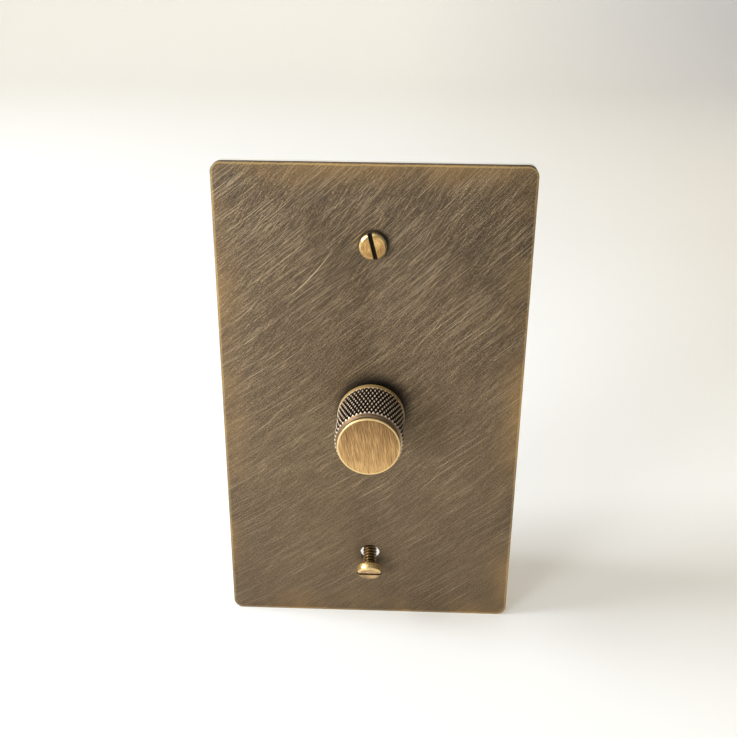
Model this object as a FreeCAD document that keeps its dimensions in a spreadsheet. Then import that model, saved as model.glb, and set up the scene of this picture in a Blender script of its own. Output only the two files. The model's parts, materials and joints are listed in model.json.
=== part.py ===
# Rotary dimmer switch on a one-gang plate, in millimetres.
#
# The plate hangs on a wall. Y runs into the wall, Z is up and X is to the right of someone facing it.
# The origin is where the knob's axis meets the wall, so all that is seen has a negative Y.
import FreeCAD, Part
import math
import os
import re
import Sketcher

V = FreeCAD.Vector

# Driving dimensions: one plain number each, kept in the document's sheet under its name.
SIZES = {
    "face plate": {
        "plate_width": 72.0,
        "plate_height": 120.0,
        "plate_thick": 1.5,
        "plate_corner_radius": 2.4,
        "plate_edge_round": 0.4,
        "fixing_centres": 83.3,
        "fixing_hole_dia": 5.0,
    },
    "gasket": {
        "gasket_thick": 1.5,
        "gasket_hole_dia": 9.4,
        "cutout_gap": 0.5,
    },
    "fixing screws": {
        "screw_major_dia": 3.5,
        "screw_tip_chamfer": 0.6,
        "screw_length": 12.7,
        "screw_head_dia": 6.2,
        "screw_head_high": 2.0,
        "screw_head_chamfer": 0.4,
        "screw_slot_wide": 1.0,
        "screw_slot_deep": 1.1,
        "upper_slot_turn": 14.0,
        "loose_screw_droop": 30.0,
        "loose_screw_reach": 4.4,
    },
    "knob": {
        "knob_dia": 16.0,
        "knob_clear": 1.0,
        "knob_long": 16.2,
        "collar_long": 1.7,
        "collar_chamfer": 0.25,
        "knurl_long": 12.5,
        "knurl_ridge_inset": 0.04,
        "knurl_deep": 0.42,
        "knurl_count": 50,
        "knurl_rows": 10,
        "neck_dia": 14.4,
        "neck_groove_deep": 0.2,
        "neck_groove_wide": 0.3,
        "disc_rim": 0.5,
        "disc_bevel": 0.25,
        "cavity_dia": 12.4,
        "cavity_clear": 0.5,
        "insert_dia": 9.0,
        "insert_long": 9.6,
        "insert_fit": 0.02,
    },
    "shaft": {
        "grip_dia": 6.0,
        "grip_flat": 1.5,
        "grip_end_gap": 0.3,
        "grip_fit": 0.03,
        "shaft_dia": 5.0,
        "shaft_flat": 1.6,
        "shaft_fit": 0.03,
        "shoulder_clear": 0.3,
        "shaft_tail": 0.7,
        "clip_groove_dia": 4.0,
        "clip_dia": 8.6,
        "clip_thick": 0.7,
        "clip_gap": 0.05,
        "clip_mouth": 3.4,
        "push_travel": 1.3,
    },
    "bush, nut and washer": {
        "bush_dia": 7.0,
        "bush_hole_gap": 0.1,
        "bush_stand": 3.6,
        "bush_chamfer": 0.4,
        "bush_flange_dia": 14.0,
        "bush_flange_thick": 1.2,
        "nut_flats": 10.0,
        "nut_thick": 2.0,
        "nut_chamfer_wide": 0.7,
        "nut_chamfer_high": 0.35,
        "nut_fit": 0.03,
        "washer_dia": 11.0,
        "washer_thick": 0.5,
        "washer_bore": 8.6,
        "washer_teeth": 8,
        "washer_gap_wide": 1.5,
    },
    "module case": {
        "module_width": 44.0,
        "module_height": 62.0,
        "module_deep": 26.5,
        "module_corner_radius": 2.5,
        "case_wall": 1.6,
        "case_back": 1.8,
        "case_back_round": 1.0,
        "heatsink_thick": 2.0,
        "post_wide": 6.0,
        "rib_wide": 3.0,
        "rib_proud": 1.2,
        "rib_height": 14.0,
        "case_screw_dia": 2.5,
        "case_screw_fit": 0.02,
        "case_screw_hole_gap": 0.15,
        "case_screw_head_dia": 4.4,
        "case_screw_head_high": 1.4,
        "case_screw_tip_gap": 0.3,
        "case_screw_slot_wide": 0.8,
        "case_screw_slot_deep": 0.7,
    },
    "circuit board": {
        "board_place": 10.7,
        "board_thick": 1.6,
        "board_gap": 0.3,
        "board_hole_dia": 7.0,
        "lead_hole_gap": 0.12,
    },
    "rotary control": {
        "pot_dia": 19.0,
        "pot_wall": 1.0,
        "clip_clear": 0.25,
        "pot_clip_room_dia": 10.4,
        "rotor_dia": 14.4,
        "rotor_thick": 2.2,
        "rotor_gap": 0.25,
        "rotor_hub_dia": 7.4,
        "rotor_hub_long": 2.1,
        "stop_lug_wide": 3.0,
        "stop_lug_proud": 0.9,
        "stop_wide": 8.0,
        "stop_gap": 0.25,
        "wafer_thick": 1.1,
        "wafer_bore": 8.4,
        "wafer_fit": 0.1,
        "track_pin_dia": 0.9,
        "track_pin_pitch": 4.0,
        "wiper_thick": 0.25,
        "wiper_outer_dia": 13.6,
        "wiper_bore": 7.8,
        "track_radius": 5.9,
        "wiper_contact_gap": 0.12,
        "wiper_contact_dia": 1.6,
    },
    "push switch": {
        "switch_wide": 13.0,
        "switch_deep": 8.5,
        "switch_wall": 1.0,
        "switch_floor": 1.2,
        "plunger_gap": 0.05,
        "plunger_stem_dia": 5.6,
        "plunger_flange_gap": 0.35,
        "plunger_flange_lift": 0.3,
        "plunger_flange_thick": 1.5,
        "plunger_spigot_dia": 3.0,
        "plunger_spigot_long": 2.2,
        "spring_wire": 0.5,
        "spring_dia": 4.2,
        "spring_turns": 4.0,
        "spring_end_gap": 0.05,
        "bridge_dia": 10.0,
        "bridge_bore": 6.0,
        "bridge_thick": 0.4,
        "button_dia": 1.6,
        "button_high": 0.4,
        "button_radius": 4.1,
        "contact_left_open": 0.3,
        "contact_thick": 0.5,
        "contact_wide": 2.6,
        "contact_long": 2.4,
    },
    "triac": {
        "triac_wide": 10.0,
        "triac_tab_thick": 1.3,
        "triac_high": 15.6,
        "triac_body_high": 9.2,
        "triac_thick": 4.5,
        "triac_place": 12.6,
        "triac_hole_up": 12.9,
        "triac_leg_wide": 0.8,
        "triac_leg_thick": 0.5,
        "triac_leg_pitch": 2.54,
        "triac_leg_out": 1.2,
        "triac_leg_lift": 2.4,
        "triac_screw_dia": 3.0,
        "triac_screw_head_dia": 5.5,
        "triac_screw_head_high": 2.0,
        "triac_screw_socket": 2.6,
        "triac_screw_fit": 0.02,
        "triac_screw_hole_gap": 0.15,
    },
    "choke": {
        "choke_dia": 17.4,
        "choke_bore": 8.4,
        "choke_thick": 6.4,
        "winding_thick": 0.8,
        "winding_gap": 0.05,
        "winding_span": 300.0,
        "winding_board_gap": 0.3,
    },
    "capacitors, resistors and diac": {
        "film_cap_place": 15.3,
        "film_cap_wide": 6.6,
        "film_cap_high": 18.0,
        "film_cap_thick": 9.0,
        "small_cap_place_x": 14.6,
        "small_cap_place_z": 17.0,
        "small_cap_wide": 7.2,
        "small_cap_high": 2.6,
        "small_cap_thick": 6.4,
        "lead_dia": 0.6,
        "lead_bend": 0.8,
        "film_cap_lead_span": 15.0,
        "small_cap_lead_span": 5.0,
        "resistor_dia": 2.4,
        "resistor_long": 6.4,
        "resistor_lead_span": 10.0,
        "resistor_lift": 0.4,
        "resistor_place": 12.2,
        "resistor_pitch": 3.2,
        "resistor_count": 3,
        "resistor_drop": 5.6,
        "diac_dia": 1.9,
        "diac_long": 4.2,
        "diac_lead_span": 7.5,
        "diac_place_x": 12.6,
        "diac_place_z": 8.0,
    },
    "fuse": {
        "fuse_place": 15.4,
        "fuse_dia": 5.0,
        "fuse_long": 20.0,
        "fuse_cap_long": 5.0,
        "fuse_cap_wall": 0.25,
        "fuse_fit": 0.02,
        "fuse_lift": 1.0,
        "clip_wide": 3.6,
        "clip_strip": 0.4,
        "clip_inset": 0.7,
        "clip_foot_wide": 2.4,
        "clip_mouth_lift": 1.2,
    },
    "terminals": {
        "block_wide": 27.0,
        "block_high": 10.0,
        "block_deep": 9.0,
        "block_wall": 1.2,
        "block_floor": 1.5,
        "block_gap": 0.2,
        "terminal_pitch": 8.6,
        "cage_wide": 6.0,
        "cage_high": 6.0,
        "cage_deep": 6.6,
        "cage_fit": 0.05,
        "wire_bore_dia": 3.2,
        "wire_bore_lift": 2.2,
        "clamp_screw_dia": 3.0,
        "clamp_screw_head_dia": 4.0,
        "clamp_screw_head_high": 1.5,
        "clamp_screw_fit": 0.02,
        "clamp_screw_clear": 0.3,
        "clamp_slot_wide": 0.8,
        "clamp_slot_deep": 0.7,
        "wire_window_wide": 25.0,
        "wire_window_deep": 6.0,
        "screw_window_wide": 25.0,
        "screw_window_high": 5.4,
    },
}

# Places that follow from the driving dimensions, front and back faces along Y first.
PLACES = {
    "plate_back": "-gasket_thick",
    "plate_front": "plate_back - plate_thick",
    "fixing_height": "fixing_centres / 2",
    "sink_back": "plate_back + heatsink_thick",
    "case_rear": "sink_back + module_deep",
    "case_inner_rear": "case_rear - case_back",
    "case_inner_half_wide": "module_width / 2 - case_wall",
    "case_inner_half_high": "module_height / 2 - case_wall",
    "post_x": "case_inner_half_wide - post_wide / 2",
    "post_z": "case_inner_half_high - post_wide / 2",
    "washer_front": "plate_front - washer_thick",
    "nut_front": "washer_front - nut_thick",
    "bush_front": "plate_front - bush_stand",
    "flange_back": "sink_back + bush_flange_thick",
    "knob_back": "plate_front - push_travel - knob_clear",
    "collar_front": "knob_back - collar_long",
    "knob_front": "knob_back - knob_long",
    "disc_back": "knob_front + disc_rim",
    "cavity_front": "bush_front - push_travel - cavity_clear",
    "insert_front": "cavity_front - insert_long",
    "grip_front": "insert_front + grip_end_gap",
    "shoulder": "bush_front - push_travel - shoulder_clear",
    "clip_front": "flange_back + clip_gap",
    "clip_back": "clip_front + clip_thick",
    "pot_inner_front": "clip_back + push_travel + clip_clear",
    "rotor_front": "pot_inner_front + rotor_gap",
    "rotor_back": "rotor_front + rotor_thick",
    "rotor_hub_back": "rotor_back + rotor_hub_long",
    "board_front": "sink_back + board_place",
    "board_back": "board_front + board_thick",
    "wafer_front": "board_front - wafer_thick",
    "pot_inner_radius": "pot_dia / 2 - pot_wall",
    "shaft_back": "board_front + shaft_tail",
    "plunger_front": "shaft_back + plunger_gap",
    "flange_front": "board_back + plunger_flange_lift",
    "plunger_face": "flange_front + plunger_flange_thick",
    "switch_back": "board_back + switch_deep",
    "switch_inner_back": "switch_back - switch_floor",
    "switch_inner_half": "switch_wide / 2 - switch_wall",
    "choke_place": "(switch_wide / 2 + case_inner_half_high) / 2",
    "bridge_back": "plunger_face + bridge_thick",
    "fixed_contact_front": "bridge_back + button_high + push_travel + contact_left_open",
    "fixed_contact_back": "fixed_contact_front + contact_thick",
    "triac_back": "sink_back + triac_tab_thick",
    "triac_top": "triac_place + triac_high",
    "triac_screw_z": "triac_place + triac_hole_up",
    "block_bottom": "-case_inner_half_high + block_gap",
    "block_top": "block_bottom + block_high",
    "block_rear": "board_back + block_deep",
    "cage_bottom": "block_bottom + block_wall",
    "cage_front": "board_back + block_floor",
    "cage_back": "cage_front + cage_deep",
    "wire_bore_y": "cage_front + wire_bore_lift",
    "clamp_z": "cage_bottom + cage_high / 2",
    "clamp_tip": "wire_bore_y + wire_bore_dia / 2 + clamp_screw_clear",
    "fuse_y": "board_front - fuse_lift - fuse_dia / 2",
    "fuse_cap_outer_radius": "fuse_dia / 2 + fuse_cap_wall",
}

TURN = "90"
FULL_TURN = 360
NEAR = 1e-6

document = FreeCAD.newDocument("RotaryDimmer")
sheet = document.addObject("Spreadsheet::Sheet", "Sizes")
nodes = {}

# Where leads go through the circuit board: across, up and diameter, filled in as the parts are made.
lead_holes = []


def fill_sheet():
    """Writes each group of sizes under its heading, one alias for each."""
    row = 1
    for heading, entries in SIZES.items():
        sheet.set(f"A{row}", heading)
        row += 1
        for alias, size in entries.items():
            sheet.set(f"A{row}", alias.replace("_", " "))
            sheet.set(f"B{row}", str(size))
            sheet.setAlias(f"B{row}", alias)
            row += 1
    document.recompute()


ALIASES = {alias for entries in SIZES.values() for alias in entries}


def formula(text):
    """Turns words such as plate_back into an expression on the sheet's cells."""

    def expand(match):
        word = match.group(0)
        if word in PLACES:
            return f"({formula(PLACES[word])})"
        if word in ALIASES:
            return f"Sizes.{word}"
        return word

    return re.sub(r"[a-z][a-z_]*", expand, str(text))


def number(text):
    """The value of a formula, for a starting sketch and for shapes made directly."""
    return float(sheet.evalExpression(formula(text)))


def bind(thing, **properties):
    """Ties properties to formulas. Two underscores in a name stand for a dot."""
    for name, text in properties.items():
        thing.setExpression(name.replace("__", "."), formula(text))
    return thing


def keep(node, thing):
    """Names a finished piece."""
    thing.Label = node
    nodes[node] = thing
    return thing


# Sketches


def new_sketch(body, plane, offset="0"):
    """A sketch on one of the body's origin planes, moved along that plane's normal."""
    sketch = body.newObject("Sketcher::SketchObject", f"{body.Name}Sketch")
    support = [f for f in body.Origin.OriginFeatures if f.Role == plane][0]
    sketch.AttachmentSupport = (support, [""])
    sketch.MapMode = "FlatFace"
    bind(sketch, AttachmentOffset__Base__z=offset)
    return sketch


def face_sketch(body, depth):
    """A sketch seen from the front, X right and Z up, at the given Y."""
    return new_sketch(body, "XZ_Plane", f"-({depth})")


def pin_point(sketch, edge, end, across, up):
    """Fixes one point of a sketch by its two distances from the origin."""
    for kind, text in (("DistanceX", across), ("DistanceY", up)):
        rule = sketch.addConstraint(Sketcher.Constraint(kind, -1, 1, edge, end, number(text)))
        sketch.setExpression(f"Constraints[{rule}]", formula(text))


def outline(sketch, points):
    """A closed outline of straight edges."""
    places = [V(number(across), number(up), 0) for across, up in points]
    first = sketch.GeometryCount
    count = len(points)
    for i in range(count):
        sketch.addGeometry(Part.LineSegment(places[i], places[(i + 1) % count]), False)
    for i, (across, up) in enumerate(points):
        sketch.addConstraint(Sketcher.Constraint("Coincident", first + i, 2, first + (i + 1) % count, 1))
        pin_point(sketch, first + i, 1, across, up)


def rectangle(sketch, left, right, low, high):
    outline(sketch, [(left, low), (right, low), (right, high), (left, high)])


def centred(sketch, wide, high, across="0", up="0"):
    rectangle(
        sketch,
        f"{across} - ({wide}) / 2",
        f"{across} + ({wide}) / 2",
        f"{up} - ({high}) / 2",
        f"{up} + ({high}) / 2",
    )


def circle(sketch, diameter, across="0", up="0"):
    centre = V(number(across), number(up), 0)
    radius_text = f"({diameter}) / 2"
    edge = sketch.addGeometry(Part.Circle(centre, V(0, 0, 1), number(radius_text)), False)
    pin_point(sketch, edge, 3, across, up)
    rule = sketch.addConstraint(Sketcher.Constraint("Radius", edge, number(radius_text)))
    sketch.setExpression(f"Constraints[{rule}]", formula(radius_text))


def d_hole(sketch, diameter, flat):
    """A round hole with a flat on its upper side, a given height above the centre."""
    radius = number(f"({diameter}) / 2")
    height = number(flat)
    half = math.sqrt(radius**2 - height**2)
    start, end = math.atan2(height, -half), math.atan2(height, half) + math.tau
    rim = Part.Circle(V(0, 0, 0), V(0, 0, 1), radius)
    arc = sketch.addGeometry(Part.ArcOfCircle(rim, start, end), False)
    line = sketch.addGeometry(Part.LineSegment(V(half, height, 0), V(-half, height, 0)), False)
    sketch.addConstraint(Sketcher.Constraint("Coincident", arc, 3, -1, 1))
    sketch.addConstraint(Sketcher.Constraint("Coincident", arc, 2, line, 1))
    sketch.addConstraint(Sketcher.Constraint("Coincident", line, 2, arc, 1))
    sketch.addConstraint(Sketcher.Constraint("Horizontal", line))
    rule = sketch.addConstraint(Sketcher.Constraint("Radius", arc, radius))
    sketch.setExpression(f"Constraints[{rule}]", formula(f"({diameter}) / 2"))
    rule = sketch.addConstraint(Sketcher.Constraint("DistanceY", -1, 1, line, 1, height))
    sketch.setExpression(f"Constraints[{rule}]", formula(flat))


# Features


def new_body(name):
    return document.addObject("PartDesign::Body", name)


def pad(body, draw, front, back):
    """Adds the sketch that draw makes, from front to back along Y."""
    sketch = face_sketch(body, back)
    draw(sketch)
    feature = body.newObject("PartDesign::Pad", f"{body.Name}Pad")
    feature.Profile = sketch
    bind(feature, Length=f"({back}) - ({front})")
    document.recompute()
    return feature


def pocket(body, draw, front, back):
    """Cuts the sketch that draw makes, from front to back along Y."""
    sketch = face_sketch(body, front)
    draw(sketch)
    feature = body.newObject("PartDesign::Pocket", f"{body.Name}Pocket")
    feature.Profile = sketch
    bind(feature, Length=f"({back}) - ({front})")
    document.recompute()
    return feature


def turned(body, points, kind="PartDesign::Revolution"):
    """Turns a half profile, given as radius and Y, about the Y axis."""
    sketch = new_sketch(body, "XY_Plane")
    outline(sketch, points)
    feature = body.newObject(kind, f"{body.Name}Turned")
    feature.Profile = sketch
    feature.ReferenceAxis = (sketch, ["V_Axis"])
    feature.Angle = FULL_TURN
    document.recompute()
    return feature


def turned_cut(body, points):
    return turned(body, points, "PartDesign::Groove")


def edges_where(shape, test):
    return [f"Edge{i}" for i, edge in enumerate(shape.Edges, 1) if test(edge)]


def along_y(edge):
    """True for a straight edge that runs along Y."""
    if not isinstance(edge.Curve, Part.Line):
        return False
    start, end = edge.Vertexes[0].Point, edge.Vertexes[-1].Point
    return abs(start.x - end.x) < NEAR and abs(start.z - end.z) < NEAR


def outer_corner(half_wide, half_high):
    """A test for the upright edges at a box's four outer corners."""

    def test(edge):
        middle = edge.BoundBox.Center
        at_side = abs(abs(middle.x) - number(half_wide)) < NEAR
        return along_y(edge) and at_side and abs(abs(middle.z) - number(half_high)) < NEAR

    return test


def round_edges(body, base, test, radius):
    feature = body.newObject("PartDesign::Fillet", f"{body.Name}Round")
    feature.Base = (base, edges_where(base.Shape, test))
    bind(feature, Radius=radius)
    document.recompute()
    return feature


def box(name, left, right, front, back, low, high):
    """A plain block between six planes."""
    block = document.addObject("Part::Box", name)
    bind(
        block,
        Length=f"({right}) - ({left})",
        Width=f"({back}) - ({front})",
        Height=f"({high}) - ({low})",
        Placement__Base__x=left,
        Placement__Base__y=front,
        Placement__Base__z=low,
    )
    return block


def rod(name, diameter, front, back, across="0", up="0"):
    """A cylinder along Y."""
    cylinder = document.addObject("Part::Cylinder", name)
    cylinder.Placement.Rotation = FreeCAD.Rotation(V(1, 0, 0), -float(TURN))
    bind(
        cylinder,
        Radius=f"({diameter}) / 2",
        Height=f"({back}) - ({front})",
        Placement__Base__x=across,
        Placement__Base__y=front,
        Placement__Base__z=up,
    )
    return cylinder


def upright_rod(name, diameter, low, high, across, depth):
    """A cylinder along Z."""
    cylinder = document.addObject("Part::Cylinder", name)
    bind(
        cylinder,
        Radius=f"({diameter}) / 2",
        Height=f"({high}) - ({low})",
        Placement__Base__x=across,
        Placement__Base__y=depth,
        Placement__Base__z=low,
    )
    return cylinder


def cut(name, base, tool):
    result = document.addObject("Part::Cut", name)
    result.Base, result.Tool = base, tool
    return result


def fuse(name, pieces):
    result = document.addObject("Part::MultiFuse", name)
    result.Shapes = pieces
    return result


def group(name, pieces):
    """Like pieces that stay separate solids in one node."""
    result = document.addObject("Part::Compound", name)
    result.Links = pieces
    return result


# Face plate, gasket and fixing screws


def make_face_plate():
    body = new_body("FacePlate")
    sheet_metal = pad(body, lambda s: centred(s, "plate_width", "plate_height"), "plate_front", "plate_back")
    corners = round_edges(
        body, sheet_metal, outer_corner("plate_width / 2", "plate_height / 2"), "plate_corner_radius"
    )
    front = number("plate_front")
    softened = round_edges(
        body,
        corners,
        lambda e: abs(e.BoundBox.YMin - front) < NEAR and abs(e.BoundBox.YMax - front) < NEAR,
        "plate_edge_round",
    )
    body.Tip = softened

    def holes(sketch):
        circle(sketch, "bush_dia + 2 * bush_hole_gap")
        for side in ("", "-"):
            circle(sketch, "fixing_hole_dia", up=f"{side}fixing_height")

    pocket(body, holes, "plate_front", "plate_back")
    keep("face_plate", body)


def make_backing_gasket():
    body = new_body("BackingGasket")
    sheet_rubber = pad(body, lambda s: centred(s, "plate_width", "plate_height"), "plate_back", "0")
    corner = outer_corner("plate_width / 2", "plate_height / 2")
    round_edges(body, sheet_rubber, corner, "plate_corner_radius")

    def cutouts(sketch):
        centred(sketch, "module_width + 2 * cutout_gap", "module_height + 2 * cutout_gap")
        for side in ("", "-"):
            circle(sketch, "gasket_hole_dia", up=f"{side}fixing_height")

    pocket(body, cutouts, "plate_back", "0")
    keep("backing_gasket", body)


def make_fixing_screw(name, slot_turn):
    """A slotted screw whose head's underside is at Y 0 and whose tip points along Y."""
    body = new_body(name)
    head, shank = "screw_head_dia / 2", "screw_major_dia / 2"
    top = "-screw_head_high"
    turned(
        body,
        [
            ("0", top),
            (f"{head} - screw_head_chamfer", top),
            (head, f"{top} + screw_head_chamfer"),
            (head, "0"),
            (shank, "0"),
            (shank, "screw_length - screw_tip_chamfer"),
            (f"{shank} - screw_tip_chamfer", "screw_length"),
            ("0", "screw_length"),
        ],
    )
    slot = pocket(
        body,
        lambda s: centred(s, "screw_slot_wide", "2 * screw_head_dia"),
        top,
        f"{top} + screw_slot_deep",
    )
    slot.Profile[0].setExpression("AttachmentOffset.Rotation.Angle", formula(slot_turn))
    document.recompute()
    return body


def make_fixing_screws():
    upper = make_fixing_screw("UpperScrew", "upper_slot_turn")
    bind(upper, Placement__Base__y="plate_front", Placement__Base__z="fixing_height")

    # The lower screw has been backed out and hangs in its clearance hole, head down.
    lower = make_fixing_screw("LowerScrew", TURN)
    lower.Placement.Rotation = FreeCAD.Rotation(V(1, 0, 0), number("loose_screw_droop"))
    droop = "loose_screw_droop * 1 deg"
    bind(
        lower,
        Placement__Rotation__Angle="loose_screw_droop",
        Placement__Base__y=f"plate_back - plate_thick / 2 - loose_screw_reach * cos({droop})",
        Placement__Base__z=f"-fixing_height - loose_screw_reach * sin({droop})",
    )
    keep("fixing_screws", group("FixingScrews", [upper, lower]))


# Knob and its insert


def knurl_blank():
    """A drum covered with diamond points.

    Two families of crossing V grooves leave one low pyramid for each diamond. Each ring of points
    takes the ridge and the groove radius in turn, and the next ring is half a diamond further round.
    """
    count = int(number("knurl_count"))
    rows = int(number("knurl_rows"))
    ridge = number("knob_dia / 2 - knurl_ridge_inset")
    groove = number("knob_dia / 2 - knurl_ridge_inset - knurl_deep")
    start, long = number("collar_front"), number("knurl_long")
    points = 2 * count

    def ring(row):
        depth = start - long * row / (rows - 1)
        places = []
        for i in range(points):
            angle = math.tau * i / points
            radius = ridge if (i + row) % 2 == 0 else groove
            places.append(V(radius * math.sin(angle), depth, radius * math.cos(angle)))
        return places

    def facet(*corners):
        return Part.Face(Part.makePolygon([*corners, corners[0]]))

    rings = [ring(row) for row in range(rows)]
    facets = [facet(*rings[0]), facet(*rings[-1])]
    for row, (near, far) in enumerate(zip(rings, rings[1:])):
        for i in range(points):
            j = (i + 1) % points
            if (i + row) % 2 == 0:
                facets += [facet(near[i], near[j], far[i]), facet(near[j], far[j], far[i])]
            else:
                facets += [facet(near[i], near[j], far[j]), facet(near[i], far[j], far[i])]
    solid = Part.Solid(Part.Shell(facets))
    if solid.Volume < 0:
        solid.reverse()
    blank = document.addObject("Part::Feature", "KnurlBlank")
    blank.Shape = solid
    return blank


def make_knob():
    body = new_body("Knob")
    body.BaseFeature = knurl_blank()
    document.recompute()
    outer, neck = "knob_dia / 2", "neck_dia / 2"
    turned(
        body,
        [
            ("0", "knob_back"),
            (f"{outer} - collar_chamfer", "knob_back"),
            (outer, "knob_back - collar_chamfer"),
            (outer, "collar_front"),
            (neck, "collar_front"),
            (neck, "disc_back + neck_groove_wide"),
            (f"{neck} - neck_groove_deep", "disc_back + neck_groove_wide / 2"),
            (neck, "disc_back"),
            (neck, "knob_front + disc_bevel"),
            (f"{neck} - disc_bevel", "knob_front"),
            ("0", "knob_front"),
        ],
    )
    turned_cut(
        body,
        [
            ("0", "knob_back"),
            ("cavity_dia / 2", "knob_back"),
            ("cavity_dia / 2", "cavity_front"),
            ("insert_dia / 2", "cavity_front"),
            ("insert_dia / 2", "insert_front"),
            ("0", "insert_front"),
        ],
    )
    keep("knob", body)


def make_knob_insert():
    body = new_body("KnobInsert")

    def section(sketch):
        circle(sketch, "insert_dia - 2 * insert_fit")
        d_hole(sketch, "grip_dia + 2 * grip_fit", "grip_flat + grip_fit")

    pad(body, section, "insert_front", "cavity_front")
    keep("knob_insert", body)


# Shaft and clip


def make_shaft():
    body = new_body("Shaft")
    thick, thin, groove = "grip_dia / 2", "shaft_dia / 2", "clip_groove_dia / 2"
    turned(
        body,
        [
            ("0", "grip_front"),
            (thick, "grip_front"),
            (thick, "shoulder"),
            (thin, "shoulder"),
            (thin, "clip_front - clip_gap"),
            (groove, "clip_front - clip_gap"),
            (groove, "clip_back + clip_gap"),
            (thin, "clip_back + clip_gap"),
            (thin, "shaft_back"),
            ("0", "shaft_back"),
        ],
    )
    pocket(
        body,
        lambda s: rectangle(s, "-grip_dia", "grip_dia", "grip_flat", "grip_dia"),
        "grip_front",
        "shoulder",
    )
    pocket(
        body,
        lambda s: rectangle(s, "-shaft_dia", "shaft_dia", "shaft_flat", "shaft_dia"),
        "clip_back + clip_gap",
        "shaft_back",
    )
    keep("shaft", body)


def make_shaft_circlip():
    body = new_body("ShaftCirclip")

    def section(sketch):
        circle(sketch, "clip_dia")
        circle(sketch, "clip_groove_dia + 2 * shaft_fit")

    pad(body, section, "clip_front", "clip_back")
    pocket(
        body,
        lambda s: rectangle(s, "-clip_mouth / 2", "clip_mouth / 2", "-clip_dia", "0"),
        "clip_front",
        "clip_back",
    )
    keep("shaft_circlip", body)


# Bush, nut and lock washer


def make_threaded_bush():
    body = new_body("ThreadedBush")
    outer, bore = "bush_dia / 2", "shaft_dia / 2 + shaft_fit"
    turned(
        body,
        [
            (bore, "bush_front"),
            (f"{outer} - bush_chamfer", "bush_front"),
            (outer, "bush_front + bush_chamfer"),
            (outer, "sink_back"),
            ("bush_flange_dia / 2", "sink_back"),
            ("bush_flange_dia / 2", "flange_back"),
            (bore, "flange_back"),
        ],
    )
    keep("threaded_bush", body)


def hexagon(sketch, flats):
    """A hexagon with two flats upright, its centre on the axis."""
    side, half = f"({flats}) / sqrt(3)", f"({flats}) / 2"
    outline(
        sketch,
        [
            (half, f"-{side} / 2"),
            (half, f"{side} / 2"),
            ("0", side),
            (f"-{half}", f"{side} / 2"),
            (f"-{half}", f"-{side} / 2"),
            ("0", f"-{side}"),
        ],
    )


def make_bush_nut():
    body = new_body("BushNut")

    def section(sketch):
        hexagon(sketch, "nut_flats")
        circle(sketch, "bush_dia + 2 * nut_fit")

    pad(body, section, "nut_front", "washer_front")
    corner = "nut_flats / sqrt(3)"
    turned_cut(
        body,
        [
            (f"{corner} - nut_chamfer_wide", "nut_front"),
            (f"{corner} + nut_chamfer_wide", "nut_front"),
            (f"{corner} + nut_chamfer_wide", "nut_front + 2 * nut_chamfer_high"),
        ],
    )
    keep("bush_nut", body)


def make_lock_washer():
    body = new_body("LockWasher")

    def section(sketch):
        circle(sketch, "washer_dia")
        circle(sketch, "bush_dia + 2 * nut_fit")

    pad(body, section, "washer_front", "plate_front")
    notch = pocket(
        body,
        lambda s: rectangle(s, "-washer_gap_wide / 2", "washer_gap_wide / 2", "0", "washer_bore / 2"),
        "washer_front",
        "plate_front",
    )
    pattern = body.newObject("PartDesign::PolarPattern", "LockWasherTeeth")
    pattern.Originals = [notch]
    pattern.Axis = (notch.Profile[0], ["N_Axis"])
    pattern.Angle = FULL_TURN
    bind(pattern, Occurrences="washer_teeth")
    body.Tip = pattern
    document.recompute()
    keep("lock_washer", body)


# Module case


def corner_posts(draw):
    """Calls draw with the centre of each corner post."""
    for across in ("post_x", "-post_x"):
        for up in ("post_z", "-post_z"):
            draw(across, up)


def make_heatsink_plate():
    body = new_body("HeatsinkPlate")
    blank = pad(body, lambda s: centred(s, "module_width", "module_height"), "plate_back", "sink_back")
    round_edges(body, blank, outer_corner("module_width / 2", "module_height / 2"), "module_corner_radius")

    def holes(sketch):
        circle(sketch, "bush_dia + 2 * bush_hole_gap")
        circle(sketch, "triac_screw_dia + 2 * triac_screw_fit", up="triac_screw_z")
        corner_posts(lambda x, z: circle(sketch, "case_screw_dia + 2 * case_screw_fit", x, z))

    pocket(body, holes, "plate_back", "sink_back")
    keep("heatsink_plate", body)


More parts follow.
